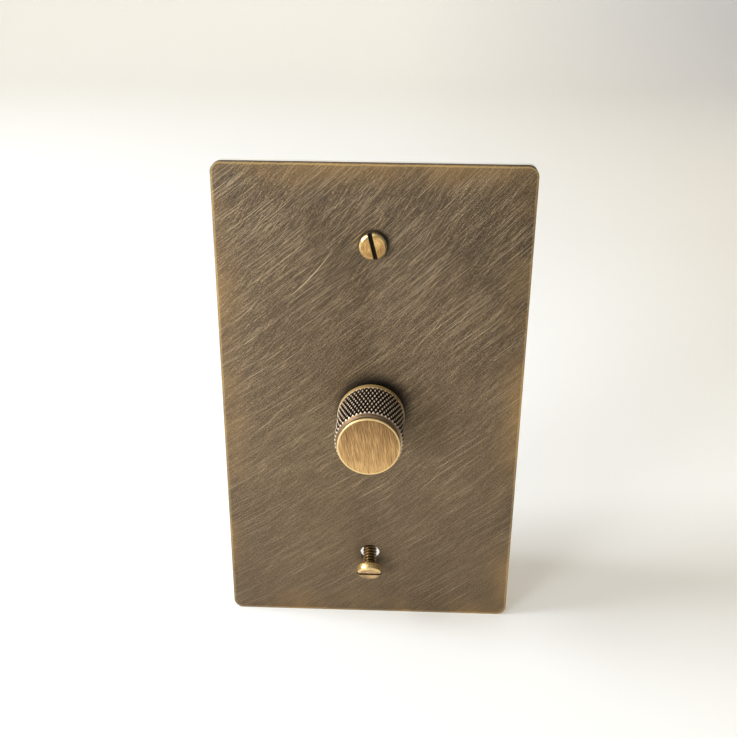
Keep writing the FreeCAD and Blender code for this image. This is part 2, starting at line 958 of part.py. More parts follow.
def make_rear_housing():
    body = new_body("RearHousing")
    solid = pad(body, lambda s: centred(s, "module_width", "module_height"), "sink_back", "case_rear")
    corners = round_edges(
        body, solid, outer_corner("module_width / 2", "module_height / 2"), "module_corner_radius"
    )
    rear = number("case_rear")
    round_edges(
        body,
        corners,
        lambda e: abs(e.BoundBox.YMin - rear) < NEAR and abs(e.BoundBox.YMax - rear) < NEAR,
        "case_back_round",
    )
    pocket(
        body,
        lambda s: centred(s, "2 * case_inner_half_wide", "2 * case_inner_half_high"),
        "sink_back",
        "case_inner_rear",
    )

    def posts(sketch):
        corner_posts(lambda x, z: centred(sketch, "post_wide", "post_wide", x, z))

    def ribs(sketch):
        for side in ("", "-"):
            for up in ("rib_height", "-rib_height"):
                middle = f"{side}(case_inner_half_wide - rib_proud / 2)"
                centred(sketch, "rib_proud", "rib_wide", middle, up)

    def screw_holes(sketch):
        size = "case_screw_dia + 2 * case_screw_hole_gap"
        corner_posts(lambda x, z: circle(sketch, size, x, z))

    def head_recesses(sketch):
        size = "case_screw_head_dia + 2 * case_screw_hole_gap"
        corner_posts(lambda x, z: circle(sketch, size, x, z))

    pad(body, posts, "sink_back", "case_inner_rear")
    pad(body, ribs, "board_back", "case_inner_rear")
    pocket(body, screw_holes, "sink_back", "case_rear")
    pocket(body, head_recesses, "case_rear - case_screw_head_high", "case_rear")

    # One long window for the wires, in the floor, and one in the back for the screwdriver.
    pocket(
        body,
        lambda s: rectangle(
            s,
            "-screw_window_wide / 2",
            "screw_window_wide / 2",
            "clamp_z - screw_window_high / 2",
            "clamp_z + screw_window_high / 2",
        ),
        "case_inner_rear",
        "case_rear",
    )
    pocket(
        body,
        lambda s: rectangle(
            s,
            "-wire_window_wide / 2",
            "wire_window_wide / 2",
            "-module_height / 2",
            "-case_inner_half_high",
        ),
        "wire_bore_y - wire_window_deep / 2",
        "wire_bore_y + wire_window_deep / 2",
    )
    keep("rear_housing", body)


def make_housing_screws():
    screws = []

    def screw(across, up):
        body = new_body("HousingScrew")
        shank, head = "case_screw_dia / 2", "case_screw_head_dia / 2"
        turned(
            body,
            [
                ("0", "plate_back + case_screw_tip_gap"),
                (shank, "plate_back + case_screw_tip_gap"),
                (shank, "case_rear - case_screw_head_high"),
                (head, "case_rear - case_screw_head_high"),
                (head, "case_rear"),
                ("0", "case_rear"),
            ],
        )
        pocket(
            body,
            lambda s: centred(s, "case_screw_slot_wide", "2 * case_screw_head_dia"),
            "case_rear - case_screw_slot_deep",
            "case_rear",
        )
        bind(body, Placement__Base__x=across, Placement__Base__z=up)
        screws.append(body)

    corner_posts(screw)
    keep("housing_screws", group("HousingScrews", screws))


def make_circuit_board():
    """Made after its parts, because it is drilled for each of their leads."""
    body = new_body("CircuitBoard")
    wide = "2 * (case_inner_half_wide - board_gap)"
    high = "2 * (case_inner_half_high - board_gap)"
    pad(body, lambda s: centred(s, wide, high), "board_front", "board_back")

    def corners(sketch):
        for side in ("", "-"):
            inner_x = f"{side}(case_inner_half_wide - post_wide - board_gap)"
            for end in ("", "-"):
                inner_z = f"{end}(case_inner_half_high - post_wide - board_gap)"
                rectangle(sketch, inner_x, f"{side}module_width / 2", inner_z, f"{end}module_height / 2")

    def holes(sketch):
        circle(sketch, "board_hole_dia")
        for across, up, size in lead_holes:
            circle(sketch, f"{size} + 2 * lead_hole_gap", across, up)

    pocket(body, corners, "board_front", "board_back")
    pocket(body, holes, "board_front", "board_back")
    keep("circuit_board", body)


# Rotary control


def make_pot_housing():
    body = new_body("PotHousing")
    outer, inner = "pot_dia / 2", "pot_inner_radius"
    turned(
        body,
        [
            ("pot_clip_room_dia / 2", "flange_back"),
            (outer, "flange_back"),
            (outer, "board_front"),
            (inner, "board_front"),
            (inner, "pot_inner_front"),
            ("pot_clip_room_dia / 2", "pot_inner_front"),
        ],
    )

    def stop(sketch):
        low = "rotor_dia / 2 + stop_gap"
        rectangle(sketch, "-stop_wide / 2", "stop_wide / 2", low, "pot_inner_radius + pot_wall / 2")

    pad(body, stop, "pot_inner_front", "rotor_back")
    keep("pot_housing", body)


def make_resistance_wafer():
    body = new_body("ResistanceWafer")

    def section(sketch):
        circle(sketch, "2 * (pot_inner_radius - wafer_fit)")
        circle(sketch, "wafer_bore")

    pad(body, section, "wafer_front", "board_front")
    keep("resistance_wafer", body)


def make_track_pins():
    """Three pins that take the ends of the track and the wiper through the board."""
    pins = []
    up = "-(wafer_bore / 2 + pot_inner_radius) / 2"
    for step in (-1, 0, 1):
        across = f"({step} * track_pin_pitch)"
        pins.append(rod("TrackPin", "track_pin_dia", "board_front", "board_back", across, up))
        lead_holes.append((across, up, "track_pin_dia"))
    keep("track_pins", group("TrackPins", pins))


def make_wiper_rotor():
    body = new_body("WiperRotor")

    def section(sketch):
        circle(sketch, "rotor_dia")
        d_hole(sketch, "shaft_dia + 2 * shaft_fit", "shaft_flat + shaft_fit")

    def hub(sketch):
        circle(sketch, "rotor_hub_dia")
        d_hole(sketch, "shaft_dia + 2 * shaft_fit", "shaft_flat + shaft_fit")

    def lug(sketch):
        low = "-(rotor_dia / 2 + stop_lug_proud)"
        rectangle(sketch, "-stop_lug_wide / 2", "stop_lug_wide / 2", low, "-rotor_hub_dia / 2")

    pad(body, section, "rotor_front", "rotor_back")
    pad(body, hub, "rotor_back", "rotor_hub_back")
    pad(body, lug, "rotor_front", "rotor_back")
    keep("wiper_rotor", body)


def make_wiper_contact():
    """A spring-bronze ring on the rotor, with a raised button that runs on the track."""
    body = new_body("WiperContact")

    def ring(sketch):
        circle(sketch, "wiper_outer_dia")
        circle(sketch, "wiper_bore")

    pad(body, ring, "rotor_back", "rotor_back + wiper_thick")
    pad(
        body,
        lambda s: circle(s, "wiper_contact_dia", up="track_radius"),
        "rotor_back + wiper_thick",
        "wafer_front - wiper_contact_gap",
    )
    keep("wiper_contact", body)


# Push switch


def make_switch_body():
    body = new_body("SwitchBody")
    pad(body, lambda s: centred(s, "switch_wide", "switch_wide"), "board_back", "switch_back")
    pocket(
        body,
        lambda s: centred(s, "2 * switch_inner_half", "2 * switch_inner_half"),
        "board_back",
        "switch_inner_back",
    )
    keep("switch_body", body)


def make_switch_plunger():
    body = new_body("SwitchPlunger")
    pad(body, lambda s: circle(s, "plunger_stem_dia"), "plunger_front", "flange_front")
    side = "2 * (switch_inner_half - plunger_flange_gap)"
    pad(body, lambda s: centred(s, side, side), "flange_front", "plunger_face")
    spigot_end = "plunger_face + plunger_spigot_long"
    pad(body, lambda s: circle(s, "plunger_spigot_dia"), "plunger_face", spigot_end)
    keep("switch_plunger", body)


def make_moving_contact():
    body = new_body("MovingContact")

    def ring(sketch):
        circle(sketch, "bridge_dia")
        circle(sketch, "bridge_bore")

    def buttons(sketch):
        for side in ("", "-"):
            circle(sketch, "button_dia", f"{side}button_radius")

    pad(body, ring, "plunger_face", "bridge_back")
    pad(body, buttons, "bridge_back", "bridge_back + button_high")
    keep("moving_contact", body)


def make_fixed_contacts():
    """Two angled strips, each on a side wall of the switch, with a leg down to its floor."""
    contacts = []
    for name, side in (("LeftContact", "-"), ("RightContact", "")):
        body = new_body(name)
        wall = f"{side}switch_inner_half"
        shelf_end = f"{side}(switch_inner_half - contact_long)"
        leg_face = f"{side}(switch_inner_half - contact_thick)"
        edges = (shelf_end, wall) if side == "" else (wall, shelf_end)
        leg = (leg_face, wall) if side == "" else (wall, leg_face)
        low, high = "-contact_wide / 2", "contact_wide / 2"
        pad(
            body,
            lambda s, e=edges: rectangle(s, e[0], e[1], low, high),
            "fixed_contact_front",
            "fixed_contact_back",
        )
        pad(
            body,
            lambda s, e=leg: rectangle(s, e[0], e[1], low, high),
            "fixed_contact_back",
            "switch_inner_back",
        )
        contacts.append(body)
    keep("fixed_contacts", group("FixedContacts", contacts))


def make_return_spring():
    """A round-wire coil between the plunger and the switch's floor."""
    radius = number("spring_dia / 2")
    wire = number("spring_wire")
    seat = wire / 2 + number("spring_end_gap")
    start = number("plunger_face") + seat
    long = number("switch_inner_back") - seat - start
    helix = Part.makeHelix(long / number("spring_turns"), long, radius)
    helix.Placement = FreeCAD.Placement(V(0, start, 0), FreeCAD.Rotation(V(1, 0, 0), -float(TURN)))
    edge = helix.Edges[0]
    tangent = edge.tangentAt(edge.FirstParameter)
    section = Part.Wire(Part.makeCircle(wire / 2, edge.valueAt(edge.FirstParameter), tangent))
    coil = Part.Wire(helix.Edges).makePipeShell([section], True, True)
    spring = document.addObject("Part::Feature", "ReturnSpring")
    spring.Shape = coil if coil.ShapeType == "Solid" else coil.Solids[0]
    keep("return_spring", spring)


# Power and trigger parts


def make_triac():
    """A three-legged package screwed to the heat sink by its tab."""
    half = "triac_wide / 2"
    tab = box("TriacTab", f"-{half}", half, "sink_back", "triac_back", "triac_place", "triac_top")
    shell = box(
        "TriacShell",
        f"-{half}",
        half,
        "triac_back",
        "sink_back + triac_thick",
        "triac_place",
        "triac_place + triac_body_high",
    )
    legs = []
    for step in (-1, 0, 1):
        left = f"{step} * triac_leg_pitch - triac_leg_wide / 2"
        right = f"{step} * triac_leg_pitch + triac_leg_wide / 2"
        front = "sink_back + triac_leg_lift"
        low = "triac_place - triac_leg_out"
        legs.append(
            box("TriacLeg", left, right, front, f"{front} + triac_leg_thick", low, "triac_place")
        )
        legs.append(
            box("TriacFoot", left, right, front, "board_back", low, f"{low} + triac_leg_thick")
        )
        lead_holes.append((f"({step} * triac_leg_pitch)", f"{low} + triac_leg_thick / 2", "triac_leg_wide"))
    hole = rod(
        "TriacHole",
        "triac_screw_dia + 2 * triac_screw_hole_gap",
        "sink_back",
        "triac_back",
        up="triac_screw_z",
    )
    keep("triac", cut("Triac", fuse("TriacBlank", [tab, shell, *legs]), hole))


def make_triac_screw():
    body = new_body("TriacScrew")
    head_back = "triac_back + triac_screw_head_high"
    turned(
        body,
        [
            ("0", "plate_back + case_screw_tip_gap"),
            ("triac_screw_dia / 2", "plate_back + case_screw_tip_gap"),
            ("triac_screw_dia / 2", "triac_back"),
            ("triac_screw_head_dia / 2", "triac_back"),
            ("triac_screw_head_dia / 2", head_back),
            ("0", head_back),
        ],
    )
    pocket(
        body,
        lambda s: hexagon(s, "triac_screw_socket"),
        "triac_back + triac_screw_head_high / 2",
        head_back,
    )
    bind(body, Placement__Base__z="triac_screw_z")
    keep("triac_screw", body)


def make_choke():
    """A ring core, and one layer of wire round most of it, as a single closed sleeve."""
    core = new_body("ChokeCore")
    front = "board_back + winding_board_gap + winding_thick + winding_gap"
    back = f"{front} + choke_thick"

    def ring(sketch):
        circle(sketch, "choke_dia")
        circle(sketch, "choke_bore")

    pad(core, ring, front, back)
    bind(core, Placement__Base__z="choke_place")
    keep("choke_core", core)

    winding = new_body("ChokeWinding")
    sketch = new_sketch(winding, "XY_Plane")
    inner, outer = "choke_bore / 2 - winding_gap", "choke_dia / 2 + winding_gap"
    low, high = f"{front} - winding_gap", f"{back} + winding_gap"
    outline(
        sketch,
        [
            (f"{inner} - winding_thick", f"{low} - winding_thick"),
            (f"{outer} + winding_thick", f"{low} - winding_thick"),
            (f"{outer} + winding_thick", f"{high} + winding_thick"),
            (f"{inner} - winding_thick", f"{high} + winding_thick"),
        ],
    )
    outline(sketch, [(inner, low), (outer, low), (outer, high), (inner, high)])
    feature = winding.newObject("PartDesign::Revolution", "ChokeWindingTurned")
    feature.Profile = sketch
    feature.ReferenceAxis = (sketch, ["V_Axis"])
    bind(feature, Angle="winding_span")
    bind(winding, Placement__Base__z="choke_place")
    winding.Placement.Rotation = FreeCAD.Rotation(V(0, 1, 0), -float(TURN))
    document.recompute()
    keep("choke_winding", winding)


def make_capacitors():
    film_front, film_back = "board_back", "board_back + film_cap_thick"
    film = box(
        "FilmCapCase",
        "-film_cap_place - film_cap_wide / 2",
        "-film_cap_place + film_cap_wide / 2",
        film_front,
        film_back,
        "-film_cap_high / 2",
        "film_cap_high / 2",
    )
    film_leads = []
    for side in ("", "-"):
        up = f"{side}film_cap_lead_span / 2"
        film_leads.append(rod("FilmCapLead", "lead_dia", "board_front", film_front, "-film_cap_place", up))
        lead_holes.append(("-film_cap_place", up, "lead_dia"))
    keep("suppression_capacitor", fuse("FilmCap", [film, *film_leads]))
    small = box(
        "SmallCapCase",
        "small_cap_place_x - small_cap_wide / 2",
        "small_cap_place_x + small_cap_wide / 2",
        "board_front - small_cap_thick",
        "board_front",
        "small_cap_place_z - small_cap_high / 2",
        "small_cap_place_z + small_cap_high / 2",
    )
    small_leads = []
    for side in ("+", "-"):
        across, up = f"(small_cap_place_x {side} small_cap_lead_span / 2)", "small_cap_place_z"
        small_leads.append(rod("SmallCapLead", "lead_dia", "board_front", "board_back", across, up))
        lead_holes.append((across, up, "lead_dia"))
    keep("timing_capacitor", fuse("SmallCap", [small, *small_leads]))


def bent_lead(across, depth, low, high):
    """One round wire: out of the board, along Z at the given depth, and back into the board."""
    x, y, back = number(across), number(depth), number("board_back")
    start, end = number(low), number(high)
    bend = number("lead_bend")
    slant = bend * (1 - math.sqrt(0.5))

    def arc(*points):
        return Part.Arc(*points).toShape()

    path = Part.Wire(
        [
            Part.LineSegment(V(x, back, start), V(x, y + bend, start)).toShape(),
            arc(V(x, y + bend, start), V(x, y + slant, start + slant), V(x, y, start + bend)),
            Part.LineSegment(V(x, y, start + bend), V(x, y, end - bend)).toShape(),
            arc(V(x, y, end - bend), V(x, y + slant, end - slant), V(x, y + bend, end)),
            Part.LineSegment(V(x, y + bend, end), V(x, back, end)).toShape(),
        ]
    )
    section = Part.Wire(Part.makeCircle(number("lead_dia / 2"), V(x, back, start), V(0, 1, 0)))
    lead = document.addObject("Part::Feature", "BentLead")
    lead.Shape = path.makePipeShell([section], True, False)
    for up in (low, high):
        lead_holes.append((across, up, "lead_dia"))
    return lead


def axial_part(name, diameter, long, span, across, up):
    """A small round part lying along Z, with its bent leads."""
    depth = f"(board_front - resistor_lift - {diameter} / 2)"
    shell = upright_rod(f"{name}Shell", diameter, f"{up} - {long} / 2", f"{up} + {long} / 2", across, depth)
    lead = bent_lead(across, depth, f"({up} - ({span}) / 2)", f"({up} + ({span}) / 2)")
    return fuse(name, [shell, lead])


def make_trigger_parts():
    count = int(number("resistor_count"))
    resistors = [
        axial_part(
            "Resistor",
            "resistor_dia",
            "resistor_long",
            "resistor_lead_span",
            f"(resistor_place + {i} * resistor_pitch)",
            "(-resistor_drop)",
        )
        for i in range(count)
    ]
    keep("gate_resistors", group("GateResistors", resistors))
    keep(
        "diac",
        axial_part("Diac", "diac_dia", "diac_long", "diac_lead_span", "diac_place_x", "diac_place_z"),
    )


def make_fuse():
    """A glass tube between two metal caps, held in two spring clips on the board."""
    x, y = "-fuse_place", "fuse_y"
    half = "fuse_long / 2"
    end = f"{half} - fuse_cap_wall - fuse_fit"
    keep("fuse_tube", upright_rod("FuseTube", "fuse_dia", f"-({end})", end, x, y))
    caps, clips = [], []
    for side in (-1, 1):
        low = f"-{half}" if side < 0 else f"{half} - fuse_cap_long"
        high = f"-{half} + fuse_cap_long" if side < 0 else half
        outer = upright_rod("FuseCapOuter", "2 * fuse_cap_outer_radius", low, high, x, y)
        bore_low = f"-{half} + fuse_cap_wall" if side < 0 else f"{low} - fuse_cap_wall"
        bore_high = f"{high} + fuse_cap_wall" if side < 0 else f"{half} - fuse_cap_wall"
        bore = upright_rod("FuseCapBore", "fuse_dia + 2 * fuse_fit", bore_low, bore_high, x, y)
        caps.append(cut("FuseCap", outer, bore))

        middle = f"{side} * ({half} - clip_inset - clip_wide / 2)"
        clip_low, clip_high = f"{middle} - clip_wide / 2", f"{middle} + clip_wide / 2"
        radius = "fuse_cap_outer_radius + fuse_fit"
        sleeve = upright_rod("ClipSleeve", f"2 * ({radius} + clip_strip)", clip_low, clip_high, x, y)
        foot_left, foot_right = f"{x} - clip_foot_wide / 2", f"{x} + clip_foot_wide / 2"
        foot = box("ClipFoot", foot_left, foot_right, y, "board_front", clip_low, clip_high)
        below, above = f"{clip_low} - clip_strip", f"{clip_high} + clip_strip"
        hollow = upright_rod("ClipHollow", f"2 * ({radius})", below, above, x, y)
        mouth_left, mouth_right = f"{x} - fuse_dia", f"{x} + fuse_dia"
        mouth_front, mouth_back = f"{y} - fuse_dia", f"{y} - clip_mouth_lift"
        mouth = box("ClipMouth", mouth_left, mouth_right, mouth_front, mouth_back, below, above)
        clips.append(cut("FuseClip", fuse("ClipBlank", [sleeve, foot]), fuse("ClipRoom", [hollow, mouth])))
    keep("fuse_caps", group("FuseCaps", caps))
    keep("fuse_clips", group("FuseClips", clips))


# Terminals


def terminal_centres():
    return [f"({step} * terminal_pitch)" for step in (-1, 0, 1)]


def make_terminal_block():
    """A comb of channels, open below for the wires and behind for the screwdriver."""
    body = new_body("TerminalBlock")
    half = "block_wide / 2"
    pad(
        body,
        lambda s: rectangle(s, f"-{half}", half, "block_bottom", "block_top"),
        "board_back",
        "block_rear",
    )

    def channels(sketch):
        side = "cage_wide / 2 + cage_fit"
        for middle in terminal_centres():
            rectangle(
                sketch,
                f"{middle} - ({side})",
                f"{middle} + {side}",
                "block_bottom",
                "cage_bottom + cage_high + cage_fit",
            )

    pocket(body, channels, "cage_front", "block_rear")
    keep("terminal_block", body)


def make_terminal_cages():
    """Brass blocks in the channels: a wire bore from below, and a tapped hole from behind."""
    cages = []
    for middle in terminal_centres():
        cage = box(
            "CageBlank",
            f"{middle} - cage_wide / 2",
            f"{middle} + cage_wide / 2",
            "cage_front",
            "cage_back",
            "cage_bottom",
            "cage_bottom + cage_high",
        )
        top = "cage_bottom + cage_high"
        wire = upright_rod("WireBore", "wire_bore_dia", "cage_bottom", top, middle, "wire_bore_y")
        tapping = rod(
            "ClampTapping",
            "clamp_screw_dia + 2 * clamp_screw_fit",
            "wire_bore_y",
            "cage_back",
            middle,
            "clamp_z",
        )
        cages.append(cut("TerminalCage", cage, fuse("CageHoles", [wire, tapping])))
    keep("terminal_cages", group("TerminalCages", cages))


def make_terminal_screws():
    screws = []
    for middle in terminal_centres():
        body = new_body("TerminalScrew")
        head_back = "cage_back + clamp_screw_head_high"
        turned(
            body,
            [
                ("0", "clamp_tip"),
                ("clamp_screw_dia / 2", "clamp_tip"),
                ("clamp_screw_dia / 2", "cage_back"),
                ("clamp_screw_head_dia / 2", "cage_back"),
                ("clamp_screw_head_dia / 2", head_back),
                ("0", head_back),
            ],
        )
        pocket(
            body,
            lambda s: centred(s, "clamp_slot_wide", "2 * clamp_screw_head_dia"),
            "cage_back + clamp_screw_head_high - clamp_slot_deep",
            head_back,
        )
        bind(body, Placement__Base__x=middle, Placement__Base__z="clamp_z")
        screws.append(body)
    keep("terminal_screws", group("TerminalScrews", screws))


def build():
    fill_sheet()
    make_face_plate()
    make_backing_gasket()
    make_fixing_screws()
    make_knob()
    make_knob_insert()
    make_shaft()
    make_shaft_circlip()
    make_threaded_bush()
    make_bush_nut()
    make_lock_washer()
    make_heatsink_plate()
    make_rear_housing()
    make_housing_screws()
    make_pot_housing()
    make_resistance_wafer()
    make_track_pins()
    make_wiper_rotor()
    make_wiper_contact()
    make_switch_body()
    make_switch_plunger()
    make_moving_contact()
    make_fixed_contacts()
    make_return_spring()
    make_triac()
    make_triac_screw()
    make_choke()
    make_capacitors()
    make_trigger_parts()
    make_fuse()
    make_terminal_block()
    make_terminal_cages()
    make_terminal_screws()
    make_circuit_board()
    document.recompute()


def check():
    """Stops on anything that failed to build, before a file is written."""
    for thing in document.Objects:
        failed = {"Invalid", "Error"} & set(thing.State)
        if failed:
            raise RuntimeError(f"{thing.Label} is {failed}")
    for node, thing in nodes.items():
        shape = thing.Shape
        if shape.isNull() or not shape.isValid() or not shape.Solids:
            raise RuntimeError(f"{node} has no valid solid")


def write():
    os.makedirs("parts", exist_ok=True)
    for node, thing in nodes.items():
        thing.Shape.exportStep(f"parts/{node}.step")


build()
check()
write()
print(len(nodes), "nodes,", sum(len(thing.Shape.Solids) for thing in nodes.values()), "solids")
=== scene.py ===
import json
import math

import bmesh
import bpy
from mathutils import Matrix, Vector


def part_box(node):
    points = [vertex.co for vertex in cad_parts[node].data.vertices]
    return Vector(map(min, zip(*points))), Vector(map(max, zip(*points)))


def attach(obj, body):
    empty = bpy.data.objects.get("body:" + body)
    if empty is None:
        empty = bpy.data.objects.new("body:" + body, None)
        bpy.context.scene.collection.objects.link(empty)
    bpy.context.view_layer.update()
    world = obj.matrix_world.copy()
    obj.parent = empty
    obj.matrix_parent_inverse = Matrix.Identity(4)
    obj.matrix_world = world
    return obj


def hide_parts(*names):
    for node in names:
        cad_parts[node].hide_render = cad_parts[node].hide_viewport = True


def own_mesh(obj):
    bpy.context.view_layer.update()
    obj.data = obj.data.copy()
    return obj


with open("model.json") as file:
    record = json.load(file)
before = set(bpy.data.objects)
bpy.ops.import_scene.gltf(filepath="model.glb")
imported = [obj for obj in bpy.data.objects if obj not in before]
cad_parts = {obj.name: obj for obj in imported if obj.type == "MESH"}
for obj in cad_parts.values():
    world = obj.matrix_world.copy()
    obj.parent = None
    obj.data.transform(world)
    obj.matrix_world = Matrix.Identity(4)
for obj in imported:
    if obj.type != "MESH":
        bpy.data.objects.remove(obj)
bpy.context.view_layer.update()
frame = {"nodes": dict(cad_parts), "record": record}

MM = 0.001
AXIS_IN = Vector((0.0, 1.0, 0.0))
NEAR, CUT_NEAR, THREAD_NEAR, MESH_NEAR = 1e-4, 1e-5, 0.004, 0.002

# Places along Y in millimetres, front face first. The wall is at 0.
PLATE_FRONT, PLATE_BACK = -3.0, -1.5
PLATE_HALF_WIDE, PLATE_HALF_HIGH = 36.0, 60.0
PLATE_CORNER, PLATE_ROUND = 2.4, 0.35
SHAFT_HOLE, FIXING_HOLE, FIXING_HEIGHT = 3.6, 2.5, 41.65

KNOB_FRONT, KNOB_BACK = -21.5, -5.3
DISC_BACK, NECK_GROOVE_BACK = -21.0, -20.7
KNURL_FRONT, KNURL_BACK = -19.5, -7.0
NECK_RADIUS, NECK_GROOVE_RADIUS = 7.2, 7.0
RIDGE_RADIUS, GROOVE_RADIUS, COLLAR_RADIUS = 7.96, 7.54, 8.0
CAVITY_RADIUS, CAVITY_FRONT = 6.2, -8.4
SLEEVE_RADIUS, SLEEVE_FRONT = 4.5, -18.0
DISC_ROUND, BACK_ROUND, COLLAR_ROUND = 0.18, 0.25, 0.08
KNOB_STEPS, KNURL_RINGS = 600, 56

# The knurl: how many grooves go round each way, how far along Y one takes its neighbour's place,
# and the share of a full ridge's height at which its tip is cut flat. At the front it starts at a
# share of its height and is full a little further in.
KNURL_AROUND, KNURL_PITCH, KNURL_FLAT = 50, 2.78, 0.66
KNURL_START, KNURL_END = 0.35, 0.45

SCREW_HEAD_RADIUS, SCREW_HEAD_HIGH = 3.1, 2.0
SCREW_HEAD_CHAMFER, SCREW_UNDER_ROUND, SCREW_HEAD_STEPS = 0.42, 0.12, 96
SCREW_SLOT_WIDE, SCREW_SLOT_DEEP = 1.0, 1.1
SCREW_LONG, THREAD_RADIUS, THREAD_ROOT, THREAD_PITCH = 12.7, 1.75, 1.28, 0.794
THREAD_STEPS, THREAD_START = 40, -0.2
SCREW_END_LONG, SCREW_END_NARROWS = 1.2, 0.28
UPPER_SLOT_TURN = math.radians(14.0)
LOOSE_DROOP, LOOSE_REACH, LOOSE_FROM = math.radians(30.0), 4.4, -2.25

SPRING_FRONT, SPRING_BACK = 16.85, 20.05
SPRING_RADIUS, SPRING_WIRE, SPRING_TURNS = 1.85, 0.25, 4.0
SPRING_STEPS, SPRING_SIDES = 56, 14

HAIRLINE_ARC, WINDING_STRANDS = 365.0, 62.0


def tint(red, green, blue):
    """A colour given from 0 to 255 as the eye reads it, as the linear colour that a shader takes."""
    parts = [part / 255.0 for part in (red, green, blue)]
    linear = [part / 12.92 if part < 0.04045 else ((part + 0.055) / 1.055) ** 2.4 for part in parts]
    return (*linear, 1.0)


class Graph:
    """Adds the nodes of one material or group to its tree and links them."""

    def __init__(self, tree):
        self.tree = tree

    def feed(self, socket, value):
        if isinstance(value, bpy.types.NodeSocket):
            self.tree.links.new(value, socket)
        elif value is not None:
            socket.default_value = value

    def add(self, kind, inputs=(), **settings):
        node = self.tree.nodes.new(kind)
        for name, value in settings.items():
            setattr(node, name, value)
        for name, value in dict(inputs).items():
            self.feed(node.inputs[name], value)
        return node

    def calc(self, operation, *values, clamp=False):
        node = self.add("ShaderNodeMath", operation=operation, use_clamp=clamp)
        for socket, value in zip(node.inputs, values):
            self.feed(socket, value)
        return node.outputs[0]

    def vector(self, operation, *values, scale=None):
        node = self.add("ShaderNodeVectorMath", operation=operation)
        for socket, value in zip(node.inputs, values):
            self.feed(socket, value)
        if scale is not None:
            self.feed(node.inputs["Scale"], scale)
        return node.outputs["Value" if operation in ("LENGTH", "DISTANCE") else "Vector"]

    def split(self, vector):
        return self.add("ShaderNodeSeparateXYZ", {"Vector": vector}).outputs

    def join(self, x, y, z):
        return self.add("ShaderNodeCombineXYZ", {"X": x, "Y": y, "Z": z}).outputs[0]

    def mix(self, share, first, second):
        node = self.add("ShaderNodeMix", data_type="RGBA")
        for socket, value in zip((node.inputs[0], node.inputs[6], node.inputs[7]), (share, first, second)):
            self.feed(socket, value)
        return node.outputs[2]

    def between(self, value, low, high, to_low=0.0, to_high=1.0):
        """The value mapped from low..high to to_low..to_high, and held at its ends."""
        return self.add("ShaderNodeMapRange", {
            "Value": value, "From Min": low, "From Max": high, "To Min": to_low, "To Max": to_high,
        }).outputs[0]

    def noise(self, vector, scale, detail=2.0, roughness=0.5):
        return self.add("ShaderNodeTexNoise", {
            "Vector": vector, "Scale": scale, "Detail": detail, "Roughness": roughness,
        }).outputs[0]

    def stops(self, value, *colours):
        """The value read through a row of colours, each given with its place from 0 to 1."""
        ramp = self.add("ShaderNodeValToRGB", {"Fac": value})
        points = ramp.color_ramp.elements
        while len(points) < len(colours):
            points.new(0.5)
        for point, (place, colour) in zip(points, colours):
            point.position = place
            point.color = colour
        return ramp.outputs[0]

    def millimetres(self):
        """The place on the object, in millimetres."""
        place = self.add("ShaderNodeTexCoord").outputs["Object"]
        return self.vector("SCALE", place, scale=1.0 / MM)

    def reach(self, x, z):
        """The distance from the Y axis."""
        return self.calc("SQRT", self.calc("ADD", self.calc("MULTIPLY", x, x), self.calc("MULTIPLY", z, z)))

    def sway(self, value, amount, onto=0.0, middle=0.5):
        """How far the value is from its middle, times amount, added to onto."""
        return self.calc("MULTIPLY_ADD", self.calc("SUBTRACT", value, middle), amount, onto)

    def give(self, node, **values):
        """Feeds a node's inputs, each named with _ for a space, and returns the node."""
        for name, value in values.items():
            self.feed(node.inputs[name.replace("_", " ")], value)
        return node

    def use(self, group, **inputs):
        """Places a node group, feeds it and returns its outputs."""
        return self.give(self.add("ShaderNodeGroup", node_tree=group), **inputs).outputs


def new_group(name, inputs, outputs):
    """An empty node group with those sockets: its graph, its inputs and its output node."""
    tree = bpy.data.node_groups.new(name, "ShaderNodeTree")
    for label, kind, start in inputs:
        socket = tree.interface.new_socket(name=label, in_out="INPUT", socket_type=kind)
        if start is not None:
            socket.default_value = start
    for label, kind in outputs:
        tree.interface.new_socket(name=label, in_out="OUTPUT", socket_type=kind)
    graph = Graph(tree)
    return graph, graph.add("NodeGroupInput").outputs, graph.add("NodeGroupOutput").inputs


NUMBER, ARROW = "NodeSocketFloat", "NodeSocketVector"


def hairline_group():
    """Fine brushed lines on arcs round a far centre, their length true HAIRLINE_ARC away from it."""
    graph, given, out = new_group(
        "brushed hairlines",
        [("Vector", ARROW, None), ("Centre", ARROW, None), ("Length", NUMBER, 4.0), ("Width", NUMBER, 0.25)],
        [("Lines", NUMBER)],
    )
    offset = graph.vector("SUBTRACT", given["Vector"], given["Centre"])
    x, y, z = graph.split(offset)
    along = graph.calc("MULTIPLY", graph.calc("ARCTAN2", z, x), HAIRLINE_ARC)
    place = graph.join(
        graph.calc("DIVIDE", along, given["Length"]),
        graph.calc("DIVIDE", graph.reach(x, z), given["Width"]),
        graph.calc("MULTIPLY", y, 0.5),
    )
    graph.feed(out["Lines"], graph.noise(place, 1.0, 2.5, 0.6))
    return graph.tree


def ring_group():
    """Turning marks: rings round the Y axis, broken a little along their way."""
    graph, given, out = new_group(
        "turned rings",
        [("Vector", ARROW, None), ("Pitch", NUMBER, 0.2)],
        [("Rings", NUMBER), ("Radius", NUMBER)],
    )
    x, y, z = graph.split(given["Vector"])
    radius = graph.reach(x, z)
    place = graph.join(
        graph.calc("DIVIDE", radius, given["Pitch"]),
        graph.calc("DIVIDE", y, given["Pitch"]),
        graph.calc("MULTIPLY", graph.calc("ARCTAN2", z, x), 0.8),
    )
    graph.feed(out["Rings"], graph.noise(place, 1.0, 2.0, 0.6))
    graph.feed(out["Radius"], radius)
    return graph.tree


